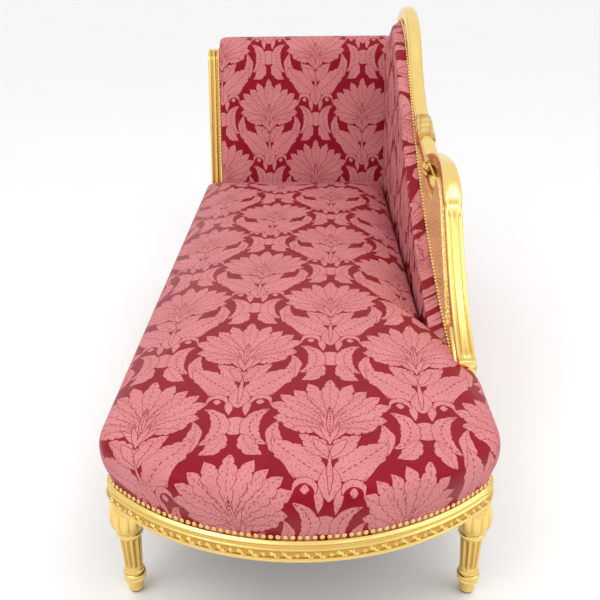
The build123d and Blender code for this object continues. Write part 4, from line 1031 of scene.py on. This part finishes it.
def carved_leg(name, packed, x, y):
    turned_z, turned_radius = LEG_TURNING.T
    heights = np.interp(np.linspace(0, 1, 190), np.linspace(0, 1, len(turned_z)), turned_z)
    radii = soften(np.interp(heights, turned_z, turned_radius)[:, None], 2)
    angles = np.linspace(0, 2 * math.pi, 120, endpoint=False)
    z, a = np.meshgrid(heights, angles, indexing="ij")
    on_shaft = smooth_step(0.056, 0.061, z) * (1 - smooth_step(0.121, 0.127, z))
    on_bulb = smooth_step(0.142, 0.156, z) * (1 - smooth_step(0.182, 0.194, z))
    flutes = np.abs(np.sin(FLUTES / 2 * a)) ** 1.6
    furrows = 1 - np.abs(np.cos(LOBES / 2 * a)) ** 0.6
    radius = radii - 0.0030 * on_shaft * flutes - 0.0014 * on_bulb * furrows
    relief = 0.9 - 0.75 * on_shaft * flutes - 0.6 * on_bulb * furrows**2
    for groove in LEG_GROOVES:
        relief -= 0.45 * np.exp(-((z - groove) / 0.0011) ** 2)
    rings = np.stack([x + radius * np.cos(a), y + radius * np.sin(a), z], -1)
    leg = tube(name, rings, gold_carved, relief=np.clip(relief, 0, 1))
    stand_in(leg, "gilt_wood", packed)


for pair, leg_y in LEG_YS.items():
    for hand, leg_x in (("left", -LEG_X), ("right", LEG_X)):
        carved_leg(f"leg_{pair}_{hand}_carved", f"leg_{pair}_{hand}", leg_x, leg_y)
print("legs carved:", 2 * len(LEG_YS))

# %% [markdown]
# ## Scroll posts of the headrest
# Each post is its side view drawn across, with a moulding on its edge: a bead at each corner, a hollow
# and a rise between them. A bevel could round the corners, but a cut that changes across the post gives
# the whole moulding.

# %% Scroll posts
def scroll_post(name, packed, low_x, high_x):
    foot_z = RAIL_TOP + 0.0002
    front = line_points(leaning_at(VOLUTE_RADIUS, foot_z), leaning(VOLUTE_RADIUS, 0), 120)
    roll = roll_points(VOLUTE_RADIUS, VOLUTE, 1.5 * math.pi, 120)
    back = VOLUTE_RADIUS - POST_DEPTH
    down = line_points(leaning(back, -VOLUTE_RADIUS), leaning_at(back, foot_z), 60)
    edge = np.concatenate([front, roll, down])
    inward = right_of(np.roll(edge, -1, 0) - np.roll(edge, 1, 0))
    t = np.linspace(0, 1, 41)
    from_side = np.minimum(t, 1 - t)
    cut = 0.0045 * smooth_step(0.16, 0.26, from_side) - 0.0035 * smooth_step(0.30, 0.5, from_side)
    cut += 0.006 * (1 - smooth_step(0.0, 0.07, from_side)) ** 2
    cut += 0.002 * np.exp(-((from_side - 0.16) / 0.02) ** 2)
    moulded = np.concatenate([np.ones(len(front) + len(roll)), np.zeros(len(down))])
    place = edge + inward * (cut[:, None] * moulded)[..., None]
    x = np.broadcast_to((low_x + (high_x - low_x) * t)[:, None, None], (*place.shape[:2], 1))
    relief = np.broadcast_to(np.clip(1 - cut / 0.006, 0.15, 1)[:, None], place.shape[:2])
    post = tube(name, np.concatenate([x, place], -1), gold_carved, relief=relief)
    stand_in(post, "gilt_wood", packed)
    print(name, "points:", len(post.data.vertices))


scroll_post("left_scroll_post", "head_post_left", -FRAME_OUT, -FRAME_IN)
scroll_post("right_scroll_post", "head_post_right", FRAME_IN, FRAME_OUT)

# %% [markdown]
# ## Arch, arm and console
# The arch is a round moulding that follows the top of the side back into the right post's scroll. A curve
# with a bevel object could sweep it. Here a section is carried along the run of arcs, so that each of its
# points can be pushed in or out by the carving.

# %% Arch
ARCH_DEEP = 0.042
GROOVE_ANGLES = (0.25, 0.75, 1.25, 1.75)  # in half turns
GROOVE_WIDE = 0.09


def rounded_section(wide, deep, count, round_share=0.46):
    """A section with soft corners: each point's place across X, its place off the run, and its angle."""
    a = np.linspace(0, 2 * math.pi, count, endpoint=False)
    power = 2 / (2 + 3.0 * (1 - round_share))
    x = np.sign(np.cos(a)) * np.abs(np.cos(a)) ** power * wide / 2
    off = np.sign(np.sin(a)) * np.abs(np.sin(a)) ** power * deep / 2
    return x, off, a


def swept(name, packed, run, headings, middle_x, x, off, scale, relief):
    """A moulding from a section carried along a run, scaled at each of its points."""
    normal = np.stack([-np.sin(headings), np.cos(headings)], 1)
    place = run[:, None, :] + normal[:, None, :] * (off * scale)[..., None]
    sections = np.concatenate([(middle_x + x * scale)[..., None], place], -1)
    body = tube(name, sections[:, ::-1], gold_carved, relief=relief[:, ::-1])
    stand_in(body, "gilt_wood", packed)
    print(name, "points:", len(body.data.vertices))


arch_run, arch_heading = arc_run(ARCH, ARCH_START, 0.004)
outside = np.hypot(*(arch_run - VOLUTE).T) > VOLUTE_RADIUS - 0.004
arch_run, arch_heading = arch_run[outside], arch_heading[outside]
x, off, angle = rounded_section(FRAME_OUT - FRAME_IN, ARCH_DEEP, 72, 0.85)
groove = sum(np.exp(-((angle - at * math.pi) / GROOVE_WIDE) ** 2) for at in GROOVE_ANGLES)
taper = 0.55 + 0.45 * smooth_step(0.0, 0.06, np.arange(len(arch_run)) * 0.004)
scale = taper[:, None] * (1 - 0.04 * groove)
relief = np.broadcast_to(1 - 0.4 * groove, scale.shape)
swept("arch_moulding", "back_arch", arch_run, arch_heading, 0.306, x, off, scale, relief)

# %% [markdown]
# The arm springs from the arch, swells towards a knuckle and runs down as a console with flutes on its
# face. A ring is cut at the knuckle and another near the foot.

# %% Arm and console
KNUCKLE_Y = -0.332
ARM_WIDE = 0.036
FLUTE_PITCH = 0.0105

arm_run, arm_heading = arc_run(ARM, ARM_START, 0.004)
x, off, _ = rounded_section(ARM_WIDE, ARM_WIDE, 96, 0.30)
travel = distances(arm_run)
long = travel[-1]
knuckle = travel[np.argmin(np.abs(arm_run[:, 0] - KNUCKLE_Y))]
fluted = smooth_step(knuckle + 0.010, knuckle + 0.030, travel)
fluted *= 1 - smooth_step(long - 0.030, long - 0.012, travel)
flutes = (off < -0.010) * (np.abs(x) < 0.0158) * np.cos(x / FLUTE_PITCH * math.pi) ** 2
cut = fluted[:, None] * flutes
ring = sum(np.exp(-((travel - at) / 0.006) ** 2) for at in (knuckle, long - 0.010))[:, None]
swelling = 0.06 * np.exp(-((travel - knuckle + 0.030) / 0.035) ** 2)
slim = 0.80 + 0.20 * smooth_step(0.10, 0.30, travel)
scale = (1 - 0.20 * cut) * (slim + swelling)[:, None] * (1 - 0.08 * ring)
relief = np.clip(1 - 0.6 * cut - 0.4 * ring, 0, 1)
swept("arm_console", "back_console", arm_run, arm_heading, 0.308, x, off, scale, relief)

# %% [markdown]
# The console stands on a block on the rail. The block is its side view drawn across, a little smaller at
# both faces, so that its edges catch the light.

# %% Console's foot
BLOCK = np.array([(-0.596, 0.2702), (-0.530, 0.2702), (-0.530, 0.335), (-0.470, 0.350), (-0.470, 0.394),
                  (-0.520, 0.410), (-0.545, 0.392), (-0.596, 0.362)])
BLOCK_X = 0.2863
BLOCK_WIDE = 0.0392

centre = BLOCK.mean(0)
columns = []
for share in np.linspace(0, 1, 13):
    draw = 0.04 * (1 - smooth_step(0, 0.12, min(share, 1 - share)))
    at = np.full(len(BLOCK), BLOCK_X + BLOCK_WIDE * share)
    columns.append(np.column_stack([at, centre + (BLOCK - centre) * (1 - draw)]))
foot_block = tube("console_foot", np.stack(columns)[:, ::-1], gold)
stand_in(foot_block, "gilt_wood", "back_console")
print("block points:", len(foot_block.data.vertices))

# %% [markdown]
# A carved leaf cuffs the arch, and a flower with a berry sits where the arm and the arch meet. The cuff
# is the arch's own section, swollen into lobes. The flower is rings of points whose radius and height
# follow the petals.

# %% Leaf cuff and rosette
CUFF = (0.071, 0.189)
ROSETTE = (-0.092, 0.612)
ROSETTE_RADIUS = 0.029
BERRY = (0.0118, 0.0105)  # radius and height

cuff = (arch_run[:, 0] > CUFF[0]) & (arch_run[:, 0] < CUFF[1])
x, off, angle = rounded_section(FRAME_OUT - FRAME_IN, ARCH_DEEP, 120)
t = np.linspace(0, 1, int(cuff.sum()))[:, None]
lobe = np.abs(np.cos(4 * angle + 3.0 * (t - 0.5)))
rim = np.clip(np.sin(math.pi * t), 0, 1) ** 0.45
rise = rim * (0.05 + 0.16 * lobe**0.7 * (0.75 + 0.25 * np.cos(26 * t)))
relief = np.clip(rise / 0.20, 0, 1)
swept("leaf_cuff", "back_leaf", arch_run[cuff], arch_heading[cuff], 0.307, x, off, 1.0 + rise, relief)

angles = np.linspace(0, 2 * math.pi, 96, endpoint=False)
inner = np.linspace(0, 1, 40)[:-1, None]
petal = np.abs(np.cos(3 * angles)) ** 0.7
radius = ROSETTE_RADIUS * (1 - inner) * (0.74 + 0.26 * petal)
height = 0.0075 * np.sin(math.pi * np.clip(inner * 1.45, 0, 1)) ** 0.6 * (0.45 + 0.55 * petal)
height = np.maximum(height, BERRY[1] * np.sqrt(np.clip(1 - (radius / BERRY[0]) ** 2, 0, 1)))
y, z = ROSETTE[0] + radius * np.cos(angles), ROSETTE[1] + radius * np.sin(angles)
sections = np.stack([FRAME_IN - 0.0004 - height, y, z], -1)
rosette = tube("rosette", sections, gold_carved, relief=np.clip(height / 0.008, 0, 1))
stand_in(rosette, "gilt_wood", "back_rosette")
print("rosette points:", len(rosette.data.vertices))

# %% [markdown]
# ## Close nailing
# Upholsterers hide the cover's raw edge under nails set head to head. They could be placed by hand or
# with an Array modifier. A node tree is better here, because it sets a nail at even steps along any chain
# of points, and each point carries the way its nail faces.

# %% Nail tree
NAIL = {"Spacing": 0.0112, "Radius": 0.0047, "Dome": 0.62}

nail_tree = bpy.data.node_groups.new("nail_row", "GeometryNodeTree")
nail_tree.interface.new_socket("Geometry", in_out="INPUT", socket_type="NodeSocketGeometry")
for label, size in NAIL.items():
    socket = nail_tree.interface.new_socket(label, in_out="INPUT", socket_type="NodeSocketFloat")
    socket.default_value = size
nail_tree.interface.new_socket("Finish", in_out="INPUT", socket_type="NodeSocketMaterial")
nail_tree.interface.new_socket("Geometry", in_out="OUTPUT", socket_type="NodeSocketGeometry")
given = nail_tree.nodes.new("NodeGroupInput").outputs
result = nail_tree.nodes.new("NodeGroupOutput")


def step(kind, inputs, **settings):
    """The first output of a new node in the nail tree."""
    return add_node(nail_tree, kind, inputs, **settings).outputs[0]


row = step("GeometryNodeMeshToCurve", {"Mesh": given["Geometry"]})
row = step("GeometryNodeResampleCurve", {"Curve": row, "Length": given["Spacing"]}, mode="LENGTH")
ball = step("GeometryNodeMeshUVSphere", {"Segments": 10, "Rings": 6, "Radius": given["Radius"]})
flatter = step("ShaderNodeCombineXYZ", {"X": 1.0, "Y": 1.0, "Z": given["Dome"]})
dome = step("GeometryNodeTransform", {"Geometry": ball, "Scale": flatter})
facing = step("GeometryNodeInputNamedAttribute", {"Name": "outward"}, data_type="FLOAT_VECTOR")
turn = step("FunctionNodeAlignRotationToVector", {"Vector": facing}, axis="Z")
sizes = {"Min": 0.96, "Max": 1.03, "Seed": 3}
vary = add_node(nail_tree, "FunctionNodeRandomValue", sizes, data_type="FLOAT")
nails = step("GeometryNodeInstanceOnPoints", {
    "Points": row,
    "Instance": dome,
    "Rotation": turn,
    "Scale": vary.outputs["Value"],
})
nails = step("GeometryNodeRealizeInstances", {"Geometry": nails})
nails = step("GeometryNodeSetShadeSmooth", {"Geometry": nails})
nails = step("GeometryNodeSetMaterial", {"Geometry": nails, "Material": given["Finish"]})
feed(nail_tree, result, {"Geometry": nails})
print("nail tree nodes:", len(nail_tree.nodes))

# %% [markdown]
# There are five rows of nails: round the seat, up the left post, along the side back, and along the two
# outer hems. Each row is turned into a plain mesh, so that it can be exported.

# %% Nail rows
def nail_row(name, packed, points, outward):
    """A row of nails along points, each facing its own way."""
    chain = bpy.data.meshes.new(name + "_row")
    chain.from_pydata([tuple(p) for p in points], [(i, i + 1) for i in range(len(points) - 1)], [])
    ways = chain.attributes.new("outward", "FLOAT_VECTOR", "POINT")
    ways.data.foreach_set("vector", np.broadcast_to(outward, (len(points), 3)).astype(np.float32).ravel())
    row = new_object(name, chain)
    modifier = row.modifiers.new("nails", "NODES")
    modifier.node_group = nail_tree
    sockets = {s.name: s.identifier for s in nail_tree.interface.items_tree if s.in_out == "INPUT"}
    for label, value in {"Finish": brass, **NAIL}.items():
        modifier[sockets[label]] = value
    depsgraph = bpy.context.evaluated_depsgraph_get()
    row_mesh = bpy.data.meshes.new_from_object(row.evaluated_get(depsgraph))
    row.modifiers.remove(modifier)
    row.data = row_mesh
    stand_in(row, "nail_brass", packed)
    print(name, "points:", len(row_mesh.vertices))


NAIL_INSET = 0.0087
SEAT_NAIL_ENDS = (0.669, -0.641)
bow = HALF_WIDTH - NAIL_INSET, FOOT_Y + NAIL_INSET, BOW_RADIUS - NAIL_INSET, CORNER_RADIUS - NAIL_INSET
line = even_run(bow_run(*bow, *SEAT_NAIL_ENDS, (200, 60, 200, 20)), 0.004)
outward = np.column_stack([right_of(np.gradient(line, axis=0)), np.zeros(len(line))])
nail_row("seat_nails", "seat_nail_strip", np.column_stack([line, np.full(len(line), NAIL_Z)]), outward)

POST_NAIL_X = -0.2912
POST_NAIL_Z = 0.400
face = VOLUTE_RADIUS - 0.001
line = np.concatenate([
    line_points(leaning_at(face, POST_NAIL_Z), leaning(face, 0), 80),
    roll_points(face, VOLUTE, math.pi / 2, 30),
])
outward = np.concatenate([np.tile(leaning(1, 0, (0, 0)), (80, 1)), roll_points(1, (0, 0), math.pi / 2, 30)])
outward = np.column_stack([np.zeros(len(line)), outward])
nail_row("head_nails", "head_nail_strip", np.column_stack([np.full(len(line), POST_NAIL_X), line]), outward)

BACK_NAIL_X = 0.2858
BACK_NAIL_RISE = 0.007
line, _ = arc_run([(y, z + BACK_NAIL_RISE) for y, z in NAIL_LINE], NAIL_START, 0.004)
line = np.column_stack([np.full(len(line), BACK_NAIL_X), line])
nail_row("back_nails", "back_nail_strip", line, (-1, 0, 0))

line = [(OUTER_X, y, NAIL_Z) for y in np.linspace(-0.525, 0.715, 200)]
nail_row("back_hem_nails", "back_hem_strip", line, (1, 0, 0))
line = [(x, *leaning_at(POST_BACK, NAIL_Z)) for x in np.linspace(-0.275, 0.275, 100)]
nail_row("head_hem_nails", "head_hem_strip", line, (0, math.cos(LEAN), -math.sin(LEAN)))

# %% [markdown]
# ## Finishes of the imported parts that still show
# The inner frame, the fixings, the head rail and the punched infill are plain enough to keep their packed
# shapes. They only get a finish, from the slot that the record names.

# %% Finishes
FINISH = {"gilt_wood": gold, "beech": beech, "steel": steel, "glide": glide}
slots = {part["node"]: part["material_slot"] for part in frame["record"]["subparts"]}
shown = [name for name, part in nodes.items() if not part.hide_render]
for name in shown:
    nodes[name].data.materials.clear()
    nodes[name].data.materials.append(gold_punched if name == "back_infill" else FINISH[slots[name]])
print("packed parts shown:", sorted(shown))

# %% [markdown]
# ## Studio
# The object stands in a white studio. A pale floor meets a white surround, which lights it evenly. A
# large lamp at the left gives the shading, a smaller one picks out the side back from above, and one at
# the right fills.

# %% Floor and lights
pale, tree, shader = new_material("pale_floor")
tone = noise(tree, object_place(tree), 0.8)
tone = blend(tree, tone, (0.90, 0.90, 0.90), (0.94, 0.94, 0.94))
feed(tree, shader, {"Base Color": tone, "Roughness": 0.8})
floor = new_piece("floor", [(-40, -40, 0), (40, -40, 0), (40, 60, 0), (-40, 60, 0)], [(0, 1, 2, 3)], pale)
floor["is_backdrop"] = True

world = bpy.data.worlds.new("studio")
bpy.context.scene.world = world
world.use_nodes = True
feed(world.node_tree, world.node_tree.nodes["Background"], {"Color": (1.0, 1.0, 1.0), "Strength": 1.0})


def aim(thing, place, right, up, forward):
    """Set a lamp or a camera at a place, looking forward."""
    rows = [(right[i], up[i], -forward[i], place[i]) for i in range(3)]
    thing.matrix_world = Matrix([*rows, (0, 0, 0, 1)])


def soft_light(name, place, target, size, watts):
    lamp = bpy.data.lights.new(name, "AREA")
    lamp.size = size
    lamp.energy = watts
    forward = np.subtract(target, place)
    forward = forward / np.linalg.norm(forward)
    right = np.cross(forward, (0, 0, 1))
    right /= np.linalg.norm(right)
    aim(new_object(name, lamp), place, right, np.cross(right, forward), forward)


soft_light("key", (-1.4, -1.6, 2.8), (0, 0, 0.4), 1.6, 24)
soft_light("top", (0.7, -1.0, 2.6), (0.3, -0.4, 0.5), 0.9, 9)
soft_light("fill", (2.2, -1.2, 1.8), (0, 0, 0.4), 1.8, 12)
print("floor and lights set")

# %% [markdown]
# The camera stands past the foot and looks down along the seat. Its place, turn and lens were fitted to
# the seat's parallel edges and the legs.

# %% Camera
CAMERA_AT = (0.028, -1.887, 1.082)
LENS = 47.61
yaw, pitch, tilt = [math.radians(v) for v in (-1.205, 24.185, -0.689)]

forward = np.array([math.sin(yaw) * math.cos(pitch), math.cos(yaw) * math.cos(pitch), -math.sin(pitch)])
level_right = np.array([math.cos(yaw), -math.sin(yaw), 0])
level_up = np.cross(level_right, forward)
right = level_right * math.cos(tilt) + level_up * math.sin(tilt)
up = level_up * math.cos(tilt) - level_right * math.sin(tilt)
camera_data = bpy.data.cameras.new("camera")
camera_data.sensor_width = 36
camera_data.lens = LENS
camera = new_object("camera", camera_data)
aim(camera, CAMERA_AT, right, up, forward)
bpy.context.scene.camera = camera
bpy.context.scene.view_settings.view_transform = "Standard"
print("camera set")

# %% [markdown]
# ## Close
# The bounds of the finished object are printed, and the lesson ends.

# %% Print the bounds and finish
low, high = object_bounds()
print("object from", [round(v, 3) for v in low], "to", [round(v, 3) for v in high])
